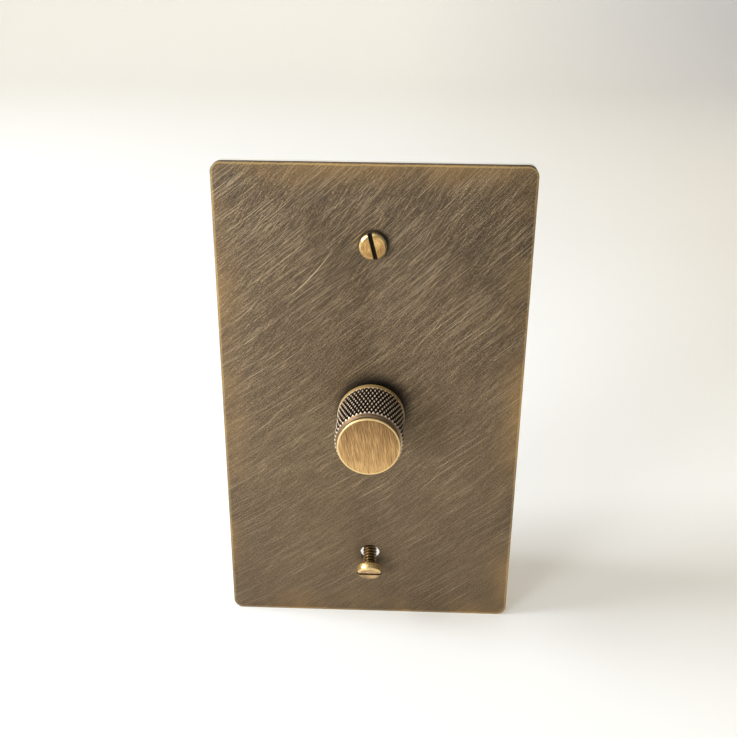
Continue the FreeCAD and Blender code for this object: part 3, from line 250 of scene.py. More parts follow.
def tarnish_group():
    """Cloudy patches with small specks among them, as old metal has."""
    graph, given, out = new_group(
        "tarnish",
        [("Vector", ARROW, None), ("Size", NUMBER, 20.0)],
        [("Clouds", NUMBER), ("Specks", NUMBER)],
    )
    place = graph.vector("DIVIDE", given["Vector"], graph.join(given["Size"], given["Size"], given["Size"]))
    graph.feed(out["Clouds"], graph.noise(place, 1.0, 4.0, 0.55))
    graph.feed(out["Specks"], graph.noise(place, 14.0, 3.0, 0.6))
    return graph.tree


def grain_group():
    """The fine grain of a moulded or cast face, and the slow change of tone under it."""
    graph, given, out = new_group(
        "moulded grain",
        [("Vector", ARROW, None), ("Size", NUMBER, 0.4)],
        [("Grain", NUMBER), ("Tone", NUMBER)],
    )
    place = graph.vector("DIVIDE", given["Vector"], graph.join(given["Size"], given["Size"], given["Size"]))
    graph.feed(out["Grain"], graph.noise(place, 1.0, 3.0, 0.6))
    graph.feed(out["Tone"], graph.noise(place, 0.05, 2.0, 0.5))
    return graph.tree


HAIRLINES = hairline_group()
RINGS = ring_group()
TARNISH = tarnish_group()
GRAIN = grain_group()


def new_material(name):
    """A material with only its output: its graph, and the shader that feeds it."""
    material = bpy.data.materials.new(name)
    material.use_nodes = True
    material.node_tree.nodes.clear()
    graph = Graph(material.node_tree)
    shader = graph.add("ShaderNodeBsdfPrincipled")
    out = graph.add("ShaderNodeOutputMaterial")
    graph.feed(out.inputs["Surface"], shader.outputs[0])
    return material, graph, shader


def bumped(graph, shader, height, distance):
    """Raises the shader's surface by height times distance, given in millimetres."""
    bump = graph.add("ShaderNodeBump", {"Height": height, "Distance": distance * MM, "Strength": 1.0})
    graph.feed(shader.inputs["Normal"], bump.outputs[0])


# The plate's longest scratches: start and end in x and z, how far they bow, and how bright they are.
SCRATCHES = (
    ((-20.5, 27.6), (-9.0, 40.3), -0.6, 0.60),
    ((-34.5, 20.5), (-25.5, 29.0), -0.5, 0.35),
    ((-28.0, 43.0), (-20.0, 51.5), 0.4, 0.22),
    ((7.0, 13.5), (17.5, 27.0), -0.8, 0.30),
    ((-31.0, -9.0), (-19.5, 2.5), -0.7, 0.28),
    ((11.0, -24.0), (22.0, -13.5), 0.5, 0.25),
)


def scratch_line(graph, x, z, start, end, bow):
    """One bowed scratch: 1 on its line, and 0 beside it and past its ends."""
    way = Vector(end) - Vector(start)
    half = way.length / 2.0
    way.normalize()
    middle = (Vector(start) + Vector(end)) / 2.0
    off_x, off_z = graph.calc("SUBTRACT", x, middle[0]), graph.calc("SUBTRACT", z, middle[1])
    along = graph.calc("MULTIPLY_ADD", off_x, way[0], graph.calc("MULTIPLY", off_z, way[1]))
    across = graph.calc("MULTIPLY_ADD", off_x, -way[1], graph.calc("MULTIPLY", off_z, way[0]))
    bowed = graph.calc("MULTIPLY_ADD", graph.calc("MULTIPLY", along, along), bow / half ** 2, across)
    beside = graph.calc("ABSOLUTE", graph.calc("SUBTRACT", bowed, bow))
    ends = graph.between(graph.calc("ABSOLUTE", along), half, half * 0.3)
    return graph.calc("MULTIPLY", graph.between(beside, 0.14, 0.06), ends)


def from_outline(graph, x, z):
    """How far in from the plate's outline a place is, round its corners too."""
    out_x = graph.calc("SUBTRACT", graph.calc("ABSOLUTE", x), PLATE_HALF_WIDE - PLATE_CORNER)
    out_z = graph.calc("SUBTRACT", graph.calc("ABSOLUTE", z), PLATE_HALF_HIGH - PLATE_CORNER)
    past = graph.vector("LENGTH", graph.join(
        graph.calc("MAXIMUM", out_x, 0.0), 0.0, graph.calc("MAXIMUM", out_z, 0.0)))
    inner = graph.calc("MINIMUM", graph.calc("MAXIMUM", out_x, out_z), 0.0)
    return graph.calc("SUBTRACT", PLATE_CORNER, graph.calc("ADD", past, inner))


def bronzed_brass():
    """The plate: brown bronzed brass with short strokes, long scratches and a bright worn edge."""
    material, graph, shader = new_material("bronzed_brass")
    place = graph.millimetres()
    x, y, z = graph.split(place)
    bend = graph.sway(graph.noise(place, 0.04, 0.0), 1.6)
    swayed = graph.vector("ADD", place, graph.join(bend, 0.0, graph.calc("MULTIPLY", bend, -0.6)))

    def lines(centre, length, width):
        return graph.use(HAIRLINES, Vector=swayed, Centre=centre, Length=length, Width=width)["Lines"]

    fine = lines((-312.0, 0.0, 238.0), 5.0, 0.10)
    crossing = lines((-240.0, 3.0, 320.0), 6.0, 0.10)
    stray = lines((-250.0, 7.0, 330.0), 20.0, 0.09)
    patches = graph.use(TARNISH, Vector=place, Size=26.0)

    fade = graph.between(z, -60.0, 55.0, 0.35, 1.0)
    pitted = graph.noise(place, 3.4, 2.0, 0.6)
    bright = graph.calc("MULTIPLY_ADD", graph.between(fine, 0.55, 0.68), 0.28,
                        graph.calc("MULTIPLY", graph.between(crossing, 0.57, 0.66), 0.34))
    strokes = graph.sway(pitted, 1.5, graph.sway(fine, 0.7, bright, middle=0.54))
    cloud = graph.sway(patches["Clouds"], 0.3)
    # Painted shade: the tone is made darker towards the plate's top and bottom edges, most at the top.
    painted_height_shade = graph.calc("MULTIPLY_ADD", graph.calc("ABSOLUTE", z), 0.0014, graph.calc("MULTIPLY", z, 0.0010))
    cloud = graph.calc("SUBTRACT", cloud, painted_height_shade)
    tone = graph.calc("ADD", graph.calc("MULTIPLY_ADD", strokes, fade, 0.395), cloud)
    metal = graph.stops(
        tone,
        (0.0, tint(52, 42, 30)), (0.3, tint(90, 75, 55)), (0.5, tint(117, 98, 73)),
        (0.72, tint(152, 129, 96)), (1.0, tint(216, 188, 142)),
    )
    scratch = graph.calc("MULTIPLY", graph.between(stray, 0.612, 0.64), fade)
    scratch = graph.calc("MULTIPLY", scratch, 0.75)
    for start, end, bow, share in SCRATCHES:
        line = graph.calc("MULTIPLY", scratch_line(graph, x, z, start, end, bow), share)
        scratch = graph.calc("MAXIMUM", scratch, line)
    metal = graph.mix(scratch, metal, tint(236, 214, 172))

    # The edge is worn bright in a ragged line, and rubbed a little warmer inside it.
    inside = from_outline(graph, x, z)
    ragged = graph.sway(patches["Specks"], 0.45, inside)
    worn = graph.calc("MULTIPLY", graph.between(ragged, 0.05, 0.18), graph.between(ragged, 0.60, 0.30))
    worn = graph.calc("MULTIPLY", worn, graph.between(patches["Clouds"], 0.30, 0.60, 0.35, 1.0))
    rubbed = graph.between(inside, 7.0, 0.3, 0.0, 0.5)
    rubbed = graph.calc("MULTIPLY", rubbed, graph.between(patches["Clouds"], 0.38, 0.62))
    metal = graph.mix(rubbed, metal, tint(162, 128, 78))
    metal = graph.mix(graph.calc("MULTIPLY", worn, 0.6), metal, tint(212, 182, 120))

    # Painted shade: a dark ring round the upper screw's head and a dark patch round the knob's collar, both
    # set a little to the upper right, stand in for their contact shadows on the plate.
    flat = graph.join(x, 0.0, z)
    off_screw = graph.vector("DISTANCE", flat, (0.15, 0.0, FIXING_HEIGHT + 0.15))
    screw_painted_shade = graph.between(off_screw, SCREW_HEAD_RADIUS + 0.1, SCREW_HEAD_RADIUS + 0.7, 0.85, 0.0)
    off_knob = graph.vector("DISTANCE", flat, (0.7, 0.0, 0.4))
    knob_painted_shade = graph.between(off_knob, COLLAR_RADIUS - 0.8, COLLAR_RADIUS + 1.8, 0.92, 0.0)
    metal = graph.mix(graph.calc("MAXIMUM", screw_painted_shade, knob_painted_shade), metal, tint(24, 18, 12))
    # The plate's side walls are coloured darker than its front.
    side_wall_tone = graph.stops(patches["Specks"], (0.3, tint(50, 38, 28)), (0.7, tint(92, 72, 52)))
    metal = graph.mix(graph.between(y, PLATE_FRONT + 0.2, PLATE_FRONT + 0.5), metal, side_wall_tone)

    graph.give(shader, Base_Color=metal, Metallic=graph.between(worn, 0.0, 1.0, 0.42, 0.85),
               Roughness=graph.between(tone, 0.0, 1.0, 0.56, 0.42))
    bumped(graph, shader, strokes, 0.02)
    return material


def knob_brass():
    """The knob: brass worn bright on the knurl's tips and dark in its grooves, the tips also a painted
    highlight and the grooves painted shade, with a brushed face.
    """
    material, graph, shader = new_material("knob_brass")
    place = graph.millimetres()
    x, y, z = graph.split(place)
    rings = graph.use(RINGS, Vector=place, Pitch=0.3)
    patches = graph.use(TARNISH, Vector=place, Size=6.0)
    leaning = graph.calc("MULTIPLY_ADD", z, 0.16, x)
    face_place = graph.join(graph.calc("DIVIDE", leaning, 0.085), y, graph.calc("DIVIDE", z, 2.6))
    face_lines = graph.noise(face_place, 1.0, 3.0)

    worn = graph.sway(patches["Specks"], 0.10, rings["Radius"])
    # The knurl's tips are coloured near white and its grooves near black: wear and patina, and also painted
    # highlight and painted shade.
    top = graph.between(y, KNURL_FRONT, KNURL_FRONT + KNURL_END, 7.66, RIDGE_RADIUS)
    tip = graph.between(graph.calc("SUBTRACT", worn, top), -0.11, -0.02)
    knurl = graph.mix(tip, graph.stops(
        graph.between(worn, GROOVE_RADIUS, 7.86),
        (0.0, tint(7, 4, 3)), (0.6, tint(24, 16, 10)), (1.0, tint(90, 66, 45)),
    ), graph.stops(patches["Specks"], (0.3, tint(232, 206, 174)), (0.7, tint(255, 244, 224))))

    collar = graph.stops(rings["Rings"], (0.3, tint(154, 124, 74)), (0.7, tint(220, 188, 124)))
    body = graph.mix(graph.between(y, KNURL_BACK - 0.02, KNURL_BACK + 0.02), knurl, collar)
    neck = graph.stops(rings["Rings"], (0.35, tint(112, 92, 74)), (0.65, tint(222, 200, 172)))
    body = graph.mix(graph.between(y, KNURL_FRONT + 0.03, KNURL_FRONT + 0.005), body, neck)
    groove = graph.calc("MULTIPLY", graph.between(y, NECK_GROOVE_BACK + 0.1, NECK_GROOVE_BACK - 0.02),
                        graph.between(y, DISC_BACK - 0.02, DISC_BACK + 0.02))
    body = graph.mix(groove, body, tint(62, 44, 28))

    face_tone = graph.sway(patches["Clouds"], 0.2, face_lines)
    # Painted light: the brushed face is coloured lighter towards its bottom and darker towards its top.
    brushed = graph.stops(
        graph.calc("MULTIPLY_ADD", z, -0.02, face_tone),
        (0.30, tint(116, 88, 56)), (0.5, tint(170, 135, 91)), (0.70, tint(224, 187, 130)),
    )
    # Painted highlight: a bright ring on the disc's rim.
    rim = graph.between(rings["Radius"], NECK_RADIUS - 0.42, NECK_RADIUS - 0.30)
    face = graph.mix(graph.calc("MULTIPLY", rim, 0.8), brushed, tint(248, 222, 160))
    body = graph.mix(graph.between(y, DISC_BACK - 0.03, DISC_BACK - 0.10), body, face)

    graph.give(shader, Base_Color=body, Metallic=graph.between(tip, 0.0, 1.0, 0.9, 0.45),
               Roughness=graph.between(patches["Clouds"], 0.3, 0.7, 0.34, 0.46))
    bumped(graph, shader, graph.calc("ADD", rings["Rings"], face_lines), 0.008)
    return material


def screw_brass(name, turned):
    """A fixing screw's polished brass, its turning marks centred on its own head."""
    material, graph, shader = new_material(name)
    own = graph.add("ShaderNodeMapping", {
        "Vector": graph.millimetres(), "Location": turned.translation, "Rotation": turned.to_euler("XYZ"),
    }, vector_type="TEXTURE").outputs[0]
    x, y, z = graph.split(own)
    rings = graph.use(RINGS, Vector=own, Pitch=0.16)
    patches = graph.use(TARNISH, Vector=own, Size=2.6)
    brass = graph.stops(
        graph.sway(rings["Rings"], 0.7, patches["Clouds"]),
        (0.2, tint(122, 90, 42)), (0.5, tint(190, 150, 84)), (0.8, tint(242, 210, 142)),
    )
    # The shank's thread is coloured dark, darkest at its roots: tarnish and painted shade.
    up_thread = graph.between(rings["Radius"], THREAD_ROOT, THREAD_RADIUS)
    thread = graph.stops(up_thread, (0.2, tint(44, 32, 18)), (0.9, tint(150, 118, 68)))
    brass = graph.mix(graph.between(y, -0.05, 0.05), brass, thread)
    # Painted highlight: the head's chamfer and side are coloured pale and bright.
    edge = graph.between(rings["Radius"], SCREW_HEAD_RADIUS - 0.50, SCREW_HEAD_RADIUS - 0.40)
    edge = graph.calc("MULTIPLY", edge, graph.between(y, 0.0, -0.1, 0.0, 0.6))
    brass = graph.mix(edge, brass, tint(252, 224, 158))
    # Painted shade: the slot is coloured near black, and its coat is taken away.
    in_slot = graph.calc("MULTIPLY", graph.between(graph.calc("ABSOLUTE", x), 0.56, 0.51),
                         graph.between(y, -SCREW_HEAD_HIGH + 0.06, -SCREW_HEAD_HIGH + 0.30))
    in_slot = graph.calc("MULTIPLY", in_slot, graph.between(y, -0.5, -0.7))
    brass = graph.mix(in_slot, brass, tint(26, 19, 12))
    graph.give(shader, Base_Color=brass, Metallic=0.85,
               Roughness=graph.between(patches["Specks"], 0.3, 0.7, 0.22, 0.34),
               Coat_Weight=graph.calc("MULTIPLY_ADD", in_slot, -0.7, 0.7), Coat_Roughness=0.14)
    bumped(graph, shader, rings["Rings"], 0.006)
    return material


def plated(name, light, dark, roughness, line):
    """A drawn, plated or bare metal, with faint lines that wide along X and a little tarnish."""
    material, graph, shader = new_material(name)
    place = graph.millimetres()
    patches = graph.use(TARNISH, Vector=place, Size=7.0)
    drawn = graph.noise(graph.vector("DIVIDE", place, (line * 14.0, line, line)), 1.0, 3.0)
    tone = graph.sway(drawn, 0.5, patches["Clouds"])
    graph.give(shader, Base_Color=graph.stops(tone, (0.3, tint(*dark)), (0.7, tint(*light))), Metallic=1.0,
               Roughness=graph.between(patches["Specks"], 0.3, 0.7, roughness - 0.05, roughness + 0.07))
    bumped(graph, shader, drawn, 0.01)
    return material


def moulded(name, light, dark, roughness, grain, depth):
    """A moulded or dipped face with the fine grain of its tool or coat, that wide and that deep."""
    material, graph, shader = new_material(name)
    skin = graph.use(GRAIN, Vector=graph.millimetres(), Size=grain)
    tone = graph.sway(skin["Grain"], 0.35, skin["Tone"])
    graph.give(shader, Base_Color=graph.stops(tone, (0.3, tint(*dark)), (0.7, tint(*light))),
               Roughness=graph.between(skin["Grain"], 0.3, 0.7, roughness - 0.06, roughness + 0.06))
    bumped(graph, shader, skin["Grain"], depth)
    return material


def gasket_sheet():
    """The thin milky sheet behind the plate."""
    material, graph, shader = new_material("gasket_sheet")
    skin = graph.use(GRAIN, Vector=graph.millimetres(), Size=0.8)
    milky = graph.stops(skin["Tone"], (0.3, tint(222, 218, 208)), (0.7, tint(240, 237, 229)))
    graph.give(shader, Base_Color=milky, Roughness=graph.between(skin["Grain"], 0.3, 0.7, 0.42, 0.55),
               Subsurface_Weight=0.2, Subsurface_Radius=(0.002, 0.002, 0.0018))
    bumped(graph, shader, skin["Grain"], 0.01)
    return material


def board_laminate():
    """Green circuit board with the weave of its glass cloth showing through."""
    material, graph, shader = new_material("board_laminate")
    place = graph.millimetres()
    x, _, z = graph.split(place)
    warp, weft = (graph.calc("SINE", graph.calc("MULTIPLY", way, 9.0)) for way in (x, z))
    weave = graph.between(graph.calc("MULTIPLY", warp, weft), -1.0, 1.0)
    clouds = graph.use(TARNISH, Vector=place, Size=9.0)["Clouds"]
    tone = graph.calc("MULTIPLY_ADD", weave, 0.35, clouds)
    green = graph.stops(tone, (0.35, tint(22, 70, 44)), (0.95, tint(52, 108, 70)))
    graph.give(shader, Base_Color=green, Roughness=graph.between(weave, 0.0, 1.0, 0.30, 0.38))
    bumped(graph, shader, weave, 0.01)
    return material


def winding_copper():
    """Enamelled copper wire wound round the choke's ring, one turn beside the next."""
    material, graph, shader = new_material("winding_copper")
    low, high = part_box("choke_winding")
    middle = tuple((a + b) / 2.0 / MM for a, b in zip(low, high))
    place = graph.vector("SUBTRACT", graph.millimetres(), middle)
    x, _, z = graph.split(place)
    round_ring = graph.calc("MULTIPLY", graph.calc("ARCTAN2", z, x), WINDING_STRANDS)
    strands = graph.between(graph.calc("SINE", round_ring), -1.0, 1.0)
    patches = graph.use(TARNISH, Vector=place, Size=3.0)
    tone = graph.calc("MULTIPLY_ADD", patches["Clouds"], 0.4, strands)
    # Painted shade: each turn of wire is coloured dark at its sides and light along its middle.
    copper = graph.stops(
        tone, (0.1, tint(70, 26, 12)), (0.6, tint(176, 92, 50)), (6.0 / 7.0, tint(214, 132, 82)))
    graph.give(shader, Base_Color=copper, Metallic=0.85, Coat_Weight=0.4,
               Roughness=graph.between(patches["Specks"], 0.3, 0.7, 0.24, 0.34))
    bumped(graph, shader, strands, 0.12)
    return material


def fuse_glass():
    """Clear glass, a little clouded."""
    material, graph, shader = new_material("fuse_glass")
    skin = graph.use(GRAIN, Vector=graph.millimetres(), Size=1.2)
    clear = graph.stops(skin["Tone"], (0.3, tint(226, 234, 232)), (0.7, tint(246, 250, 249)))
    graph.give(shader, Base_Color=clear, Roughness=graph.between(skin["Grain"], 0.3, 0.7, 0.02, 0.08),
               Transmission_Weight=0.9, IOR=1.5)
    return material


FINISHES = {
    "bronzed_brass": bronzed_brass(),
    "knob_brass": knob_brass(),
    "gasket_sheet": gasket_sheet(),
    "board_laminate": board_laminate(),
    "winding_copper": winding_copper(),
    "fuse_glass": fuse_glass(),
}

# Each plain metal: its light and dark colour, roughness and the width of its lines.
for name, *look in (
    ("zinc_steel", (206, 208, 208), (156, 158, 158), 0.30, 0.25),
    ("spring_steel", (186, 188, 190), (120, 122, 126), 0.26, 0.25),
    ("nickel_brass", (214, 208, 194), (168, 160, 142), 0.24, 0.25),
    ("plain_brass", (222, 188, 116), (170, 132, 70), 0.28, 0.25),
    ("screw_brass", (220, 184, 112), (168, 130, 68), 0.28, 0.25),
    ("contact_bronze", (212, 156, 108), (158, 104, 66), 0.30, 0.25),
    ("heatsink_aluminium", (196, 198, 200), (168, 170, 173), 0.40, 0.18),
):
    FINISHES[name] = plated(name, *look)

# Each moulded or dipped face: its light and dark colour, roughness, and the grain's width and depth.
for name, *look in (
    ("case_plastic", (50, 50, 52), (42, 42, 44), 0.50, 0.30, 0.015),
    ("nylon", (232, 228, 214), (208, 202, 184), 0.42, 0.6, 0.006),
    ("phenolic", (122, 76, 44), (88, 52, 30), 0.44, 0.25, 0.008),
    ("epoxy_black", (44, 44, 46), (26, 26, 28), 0.52, 0.2, 0.012),
    ("film_case", (222, 178, 44), (190, 146, 28), 0.34, 0.7, 0.006),
    ("lead_case", (196, 72, 44), (160, 52, 30), 0.30, 0.5, 0.008),
    ("resistor_coat", (206, 178, 134), (178, 148, 104), 0.36, 0.4, 0.008),
    ("diac_glass", (64, 92, 140), (40, 62, 102), 0.20, 0.4, 0.003),
    ("core_paint", (226, 214, 120), (196, 182, 86), 0.40, 0.5, 0.010),
    ("terminal_green", (64, 138, 84), (42, 104, 60), 0.44, 0.3, 0.012),
):
    FINISHES[name] = moulded(name, *look)


def finished(name, shape, material, body, stands_for, sharp=35.0):
    """Turns a shape in millimetres into a piece of the scene that rides on a body for its node."""
    for face in shape.faces:
        face.smooth = True
    for edge in shape.edges:
        edge.smooth = len(edge.link_faces) == 2 and edge.calc_face_angle(0.0) < math.radians(sharp)
    bmesh.ops.scale(shape, vec=(MM, MM, MM), verts=shape.verts)
    mesh = bpy.data.meshes.new(name)
    shape.to_mesh(mesh)
    shape.free()
    mesh.materials.append(material)
    piece = bpy.data.objects.new(name, mesh)
    bpy.context.scene.collection.objects.link(piece)
    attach(piece, body)
    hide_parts(*stands_for)
    return piece


def merged(shape):
    """Joins doubled corners and turns every face outwards."""
    bmesh.ops.remove_doubles(shape, verts=shape.verts, dist=NEAR)
    bmesh.ops.recalc_face_normals(shape, faces=shape.faces)


def ring_edges(shape, y, radius):
    """The edges of the ring at that place along the Y axis and that distance from it."""
    def on_ring(vert):
        return abs(vert.co.y - y) < NEAR and abs(math.hypot(vert.co.x, vert.co.z) - radius) < NEAR
    return [edge for edge in shape.edges if on_ring(edge.verts[0]) and on_ring(edge.verts[1])]


def rounded(shape, edges, width, segments):
    bmesh.ops.bevel(shape, geom=edges, offset=width, offset_type="OFFSET", segments=segments,
                    profile=0.5, affect="EDGES", clamp_overlap=True, material=-1)


def profile(shape, outline):
    """Draws an outline, given as places along Y and radii, and returns its corners and sides."""
    points = [shape.verts.new((radius, y, 0.0)) for y, radius in outline]
    return points, [shape.edges.new(pair) for pair in zip(points, points[1:])]


def face_plate():
    """The plate, cut from sheet with three holes and its front edges broken."""
    shape = bmesh.new()
    corners = [shape.verts.new((x, PLATE_FRONT, z)) for x, z in (
        (-PLATE_HALF_WIDE, -PLATE_HALF_HIGH), (PLATE_HALF_WIDE, -PLATE_HALF_HIGH),
        (PLATE_HALF_WIDE, PLATE_HALF_HIGH), (-PLATE_HALF_WIDE, PLATE_HALF_HIGH),
    )]
    shape.faces.new(corners)
    bmesh.ops.bevel(shape, geom=corners, offset=PLATE_CORNER, offset_type="OFFSET", segments=14,
                    profile=0.5, affect="VERTICES", clamp_overlap=True, material=-1)
    bmesh.ops.delete(shape, geom=shape.faces[:], context="FACES_ONLY")
    for height, radius, steps in ((0.0, SHAFT_HOLE, 72), (FIXING_HEIGHT, FIXING_HOLE, 64),
                                  (-FIXING_HEIGHT, FIXING_HOLE, 64)):
        turned = Matrix.Translation((0.0, PLATE_FRONT, height)) @ Matrix.Rotation(math.pi / 2, 4, "X")
        bmesh.ops.create_circle(shape, cap_ends=False, segments=steps, radius=radius, matrix=turned)
    bmesh.ops.triangle_fill(shape, use_beauty=True, use_dissolve=False, edges=shape.edges[:], normal=-AXIS_IN)
    front = shape.faces[:]
    grown = bmesh.ops.extrude_face_region(shape, geom=front)["geom"]
    moved = [item for item in grown if isinstance(item, bmesh.types.BMVert)]
    bmesh.ops.translate(shape, verts=moved, vec=AXIS_IN * (PLATE_BACK - PLATE_FRONT))
    merged(shape)
    rims = [edge for edge in shape.edges
            if all(abs(vert.co.y - PLATE_FRONT) < NEAR for vert in edge.verts)
            and len(edge.link_faces) == 2 and edge.calc_face_angle(0.0) > math.radians(60)]
    rounded(shape, rims, PLATE_ROUND, 4)
    return shape


def knurl_height(around, along):
    """How high the knurl stands there, from 0 in a groove to 1 on a flat tip."""
    def side(turns):
        return 1.0 - abs(turns - math.floor(turns) - 0.5) * 2.0
    forward = side(around + along / KNURL_PITCH)
    backward = side(around - along / KNURL_PITCH)
    return min(1.0, min(forward, backward) / KNURL_FLAT)


def knob():
    """The knob, turned in one piece round the Y axis and knurled, with its bore for the sleeve."""
    shape = bmesh.new()
    outline = [
        (KNOB_FRONT, 0.0), (KNOB_FRONT, NECK_RADIUS), (DISC_BACK, NECK_RADIUS),
        (DISC_BACK, NECK_GROOVE_RADIUS), (NECK_GROOVE_BACK, NECK_GROOVE_RADIUS),
        (NECK_GROOVE_BACK, NECK_RADIUS), (KNURL_FRONT, NECK_RADIUS),
        (KNURL_FRONT, RIDGE_RADIUS), (KNURL_BACK, RIDGE_RADIUS), (KNURL_BACK, COLLAR_RADIUS),
        (KNOB_BACK, COLLAR_RADIUS), (KNOB_BACK, CAVITY_RADIUS), (CAVITY_FRONT, CAVITY_RADIUS),
        (CAVITY_FRONT, SLEEVE_RADIUS), (SLEEVE_FRONT, SLEEVE_RADIUS), (SLEEVE_FRONT, 0.0),
    ]
    sides = profile(shape, outline)[1]
    knurled = sides[outline.index((KNURL_FRONT, RIDGE_RADIUS))]
    bmesh.ops.subdivide_edges(shape, edges=[knurled], cuts=KNURL_RINGS - 1)
    bmesh.ops.spin(shape, geom=shape.verts[:] + shape.edges[:], cent=(0, 0, 0), axis=AXIS_IN,
                   angle=math.tau, steps=KNOB_STEPS, use_merge=True)
    merged(shape)
    for vert in shape.verts:
        x, y, z = vert.co
        radius = math.hypot(x, z)
        if KNURL_FRONT - NEAR < y < KNURL_BACK + NEAR and abs(radius - RIDGE_RADIUS) < 0.02:
            around = math.atan2(z, x) / math.tau * KNURL_AROUND
            end = min(1.0, KNURL_START + (y - KNURL_FRONT) / KNURL_END * (1.0 - KNURL_START))
            height = min(end, knurl_height(around, y - KNURL_FRONT))
            wanted = GROOVE_RADIUS + (RIDGE_RADIUS - GROOVE_RADIUS) * height
            vert.co.x, vert.co.z = x * wanted / radius, z * wanted / radius
    rounded(shape, ring_edges(shape, KNOB_FRONT, NECK_RADIUS), DISC_ROUND, 4)
    rounded(shape, ring_edges(shape, KNOB_BACK, COLLAR_RADIUS), BACK_ROUND, 3)
    rounded(shape, ring_edges(shape, KNURL_BACK, COLLAR_RADIUS), COLLAR_ROUND, 2)
    return shape


def slotted_head(shape):
    """A pan head round the Y axis with its underside at 0 and a slot along Z."""
    outline = [
        (0.0, 0.0), (0.0, SCREW_HEAD_RADIUS), (-SCREW_HEAD_HIGH, SCREW_HEAD_RADIUS), (-SCREW_HEAD_HIGH, 0.0),
    ]
    points, sides = profile(shape, outline)
    bmesh.ops.spin(shape, geom=points + sides, cent=(0, 0, 0), axis=AXIS_IN,
                   angle=math.tau, steps=SCREW_HEAD_STEPS, use_merge=True)
    merged(shape)
    rounded(shape, ring_edges(shape, -SCREW_HEAD_HIGH, SCREW_HEAD_RADIUS), SCREW_HEAD_CHAMFER, 1)
    rounded(shape, ring_edges(shape, 0.0, SCREW_HEAD_RADIUS), SCREW_UNDER_ROUND, 2)

    # The slot: cut along its walls and its floor, emptied, and closed again with those three faces.
    half, floor = SCREW_SLOT_WIDE / 2.0, -SCREW_HEAD_HIGH + SCREW_SLOT_DEEP
    for point, normal in (((half, 0, 0), (1, 0, 0)), ((-half, 0, 0), (1, 0, 0)), ((0, floor, 0), (0, 1, 0))):
        bmesh.ops.bisect_plane(shape, geom=shape.verts[:] + shape.edges[:] + shape.faces[:], dist=CUT_NEAR,
                               plane_co=point, plane_no=normal)
    cut_out = [face for face in shape.faces
               if abs(face.calc_center_median().x) < half and face.calc_center_median().y < floor - NEAR]
    bmesh.ops.delete(shape, geom=cut_out, context="FACES")
    corners = {}
    for vert in shape.verts:
        if vert.is_boundary and abs(vert.co.y - floor) < NEAR and abs(abs(vert.co.x) - half) < NEAR:
            corners[(vert.co.x > 0, vert.co.z > 0)] = vert
    feet = {side: shape.edges.new((corners[(side, False)], corners[(side, True)])) for side in (False, True)}
    open_edges = [edge for edge in shape.edges if edge.is_boundary]
    for side in (False, True):
        wall = [edge for edge in open_edges
                if all(abs(vert.co.x - (half if side else -half)) < NEAR for vert in edge.verts)]
        bmesh.ops.contextual_create(shape, geom=wall + [feet[side]])
    floor_edges = [edge for edge in open_edges if all(abs(vert.co.y - floor) < NEAR for vert in edge.verts)]
    bmesh.ops.contextual_create(shape, geom=floor_edges + list(feet.values()))
    bmesh.ops.recalc_face_normals(shape, faces=shape.faces)


def threaded_shank(shape):
    """A cut thread round the Y axis from inside the head to the screw's end, which narrows."""
    start, end = THREAD_START, SCREW_LONG
    turns = math.ceil((end - start) / THREAD_PITCH) + 2
    first = start - 1.5 * THREAD_PITCH
    points, sides = profile(shape, [(first + share * THREAD_PITCH, radius) for share, radius in (
        (0.0, THREAD_ROOT), (0.40, THREAD_RADIUS), (0.52, THREAD_RADIUS), (0.92, THREAD_ROOT),
        (1.0, THREAD_ROOT),
    )])
    steps = turns * THREAD_STEPS
    bmesh.ops.spin(shape, geom=points + sides, cent=(0, 0, 0), axis=AXIS_IN, angle=math.tau * turns,
                   steps=steps, dvec=AXIS_IN * (THREAD_PITCH / THREAD_STEPS))
    bmesh.ops.remove_doubles(shape, verts=shape.verts, dist=THREAD_NEAR)
    for place, normal in ((start, -1.0), (end, 1.0)):
        cut = bmesh.ops.bisect_plane(
            shape, geom=shape.verts[:] + shape.edges[:] + shape.faces[:], dist=CUT_NEAR,
            plane_co=(0, place, 0), plane_no=(0, normal, 0), clear_outer=True)
        rim = [item for item in cut["geom_cut"] if isinstance(item, bmesh.types.BMEdge)]
        bmesh.ops.contextual_create(shape, geom=rim)
    bmesh.ops.recalc_face_normals(shape, faces=shape.faces)
    for vert in shape.verts:
        past = vert.co.y - (end - SCREW_END_LONG)
        if past > 0.0:
            narrow = 1.0 - SCREW_END_NARROWS * past / SCREW_END_LONG
            vert.co.x, vert.co.z = vert.co.x * narrow, vert.co.z * narrow


def fixing_screw(turned):
    """One fixing screw: the head and the thread are made apart and put in place together."""
    shape = bmesh.new()
    slotted_head(shape)
    thread = bmesh.new()
    threaded_shank(thread)
    loose = bpy.data.meshes.new("thread")
    thread.to_mesh(loose)
    thread.free()
    shape.from_mesh(loose)
    bpy.data.meshes.remove(loose)
    bmesh.ops.transform(shape, matrix=turned, verts=shape.verts)
    return shape


def return_spring():
    """The switch's coil spring, its ends closed."""
    shape = bmesh.new()
    start = Matrix.Translation((SPRING_RADIUS, SPRING_FRONT + SPRING_WIRE, 0.0))
    bmesh.ops.create_circle(shape, cap_ends=False, segments=SPRING_SIDES, radius=SPRING_WIRE,
                            matrix=start)
    steps = int(SPRING_TURNS * SPRING_STEPS)
    rise = (SPRING_BACK - SPRING_FRONT - 2.0 * SPRING_WIRE) / steps
    bmesh.ops.spin(shape, geom=shape.verts[:] + shape.edges[:], cent=(0, 0, 0), axis=AXIS_IN,
                   angle=math.tau * SPRING_TURNS, steps=steps, dvec=AXIS_IN * rise)
    bmesh.ops.remove_doubles(shape, verts=shape.verts, dist=CUT_NEAR)
    bmesh.ops.holes_fill(shape, edges=shape.edges[:], sides=0)
    bmesh.ops.recalc_face_normals(shape, faces=shape.faces)
    return shape


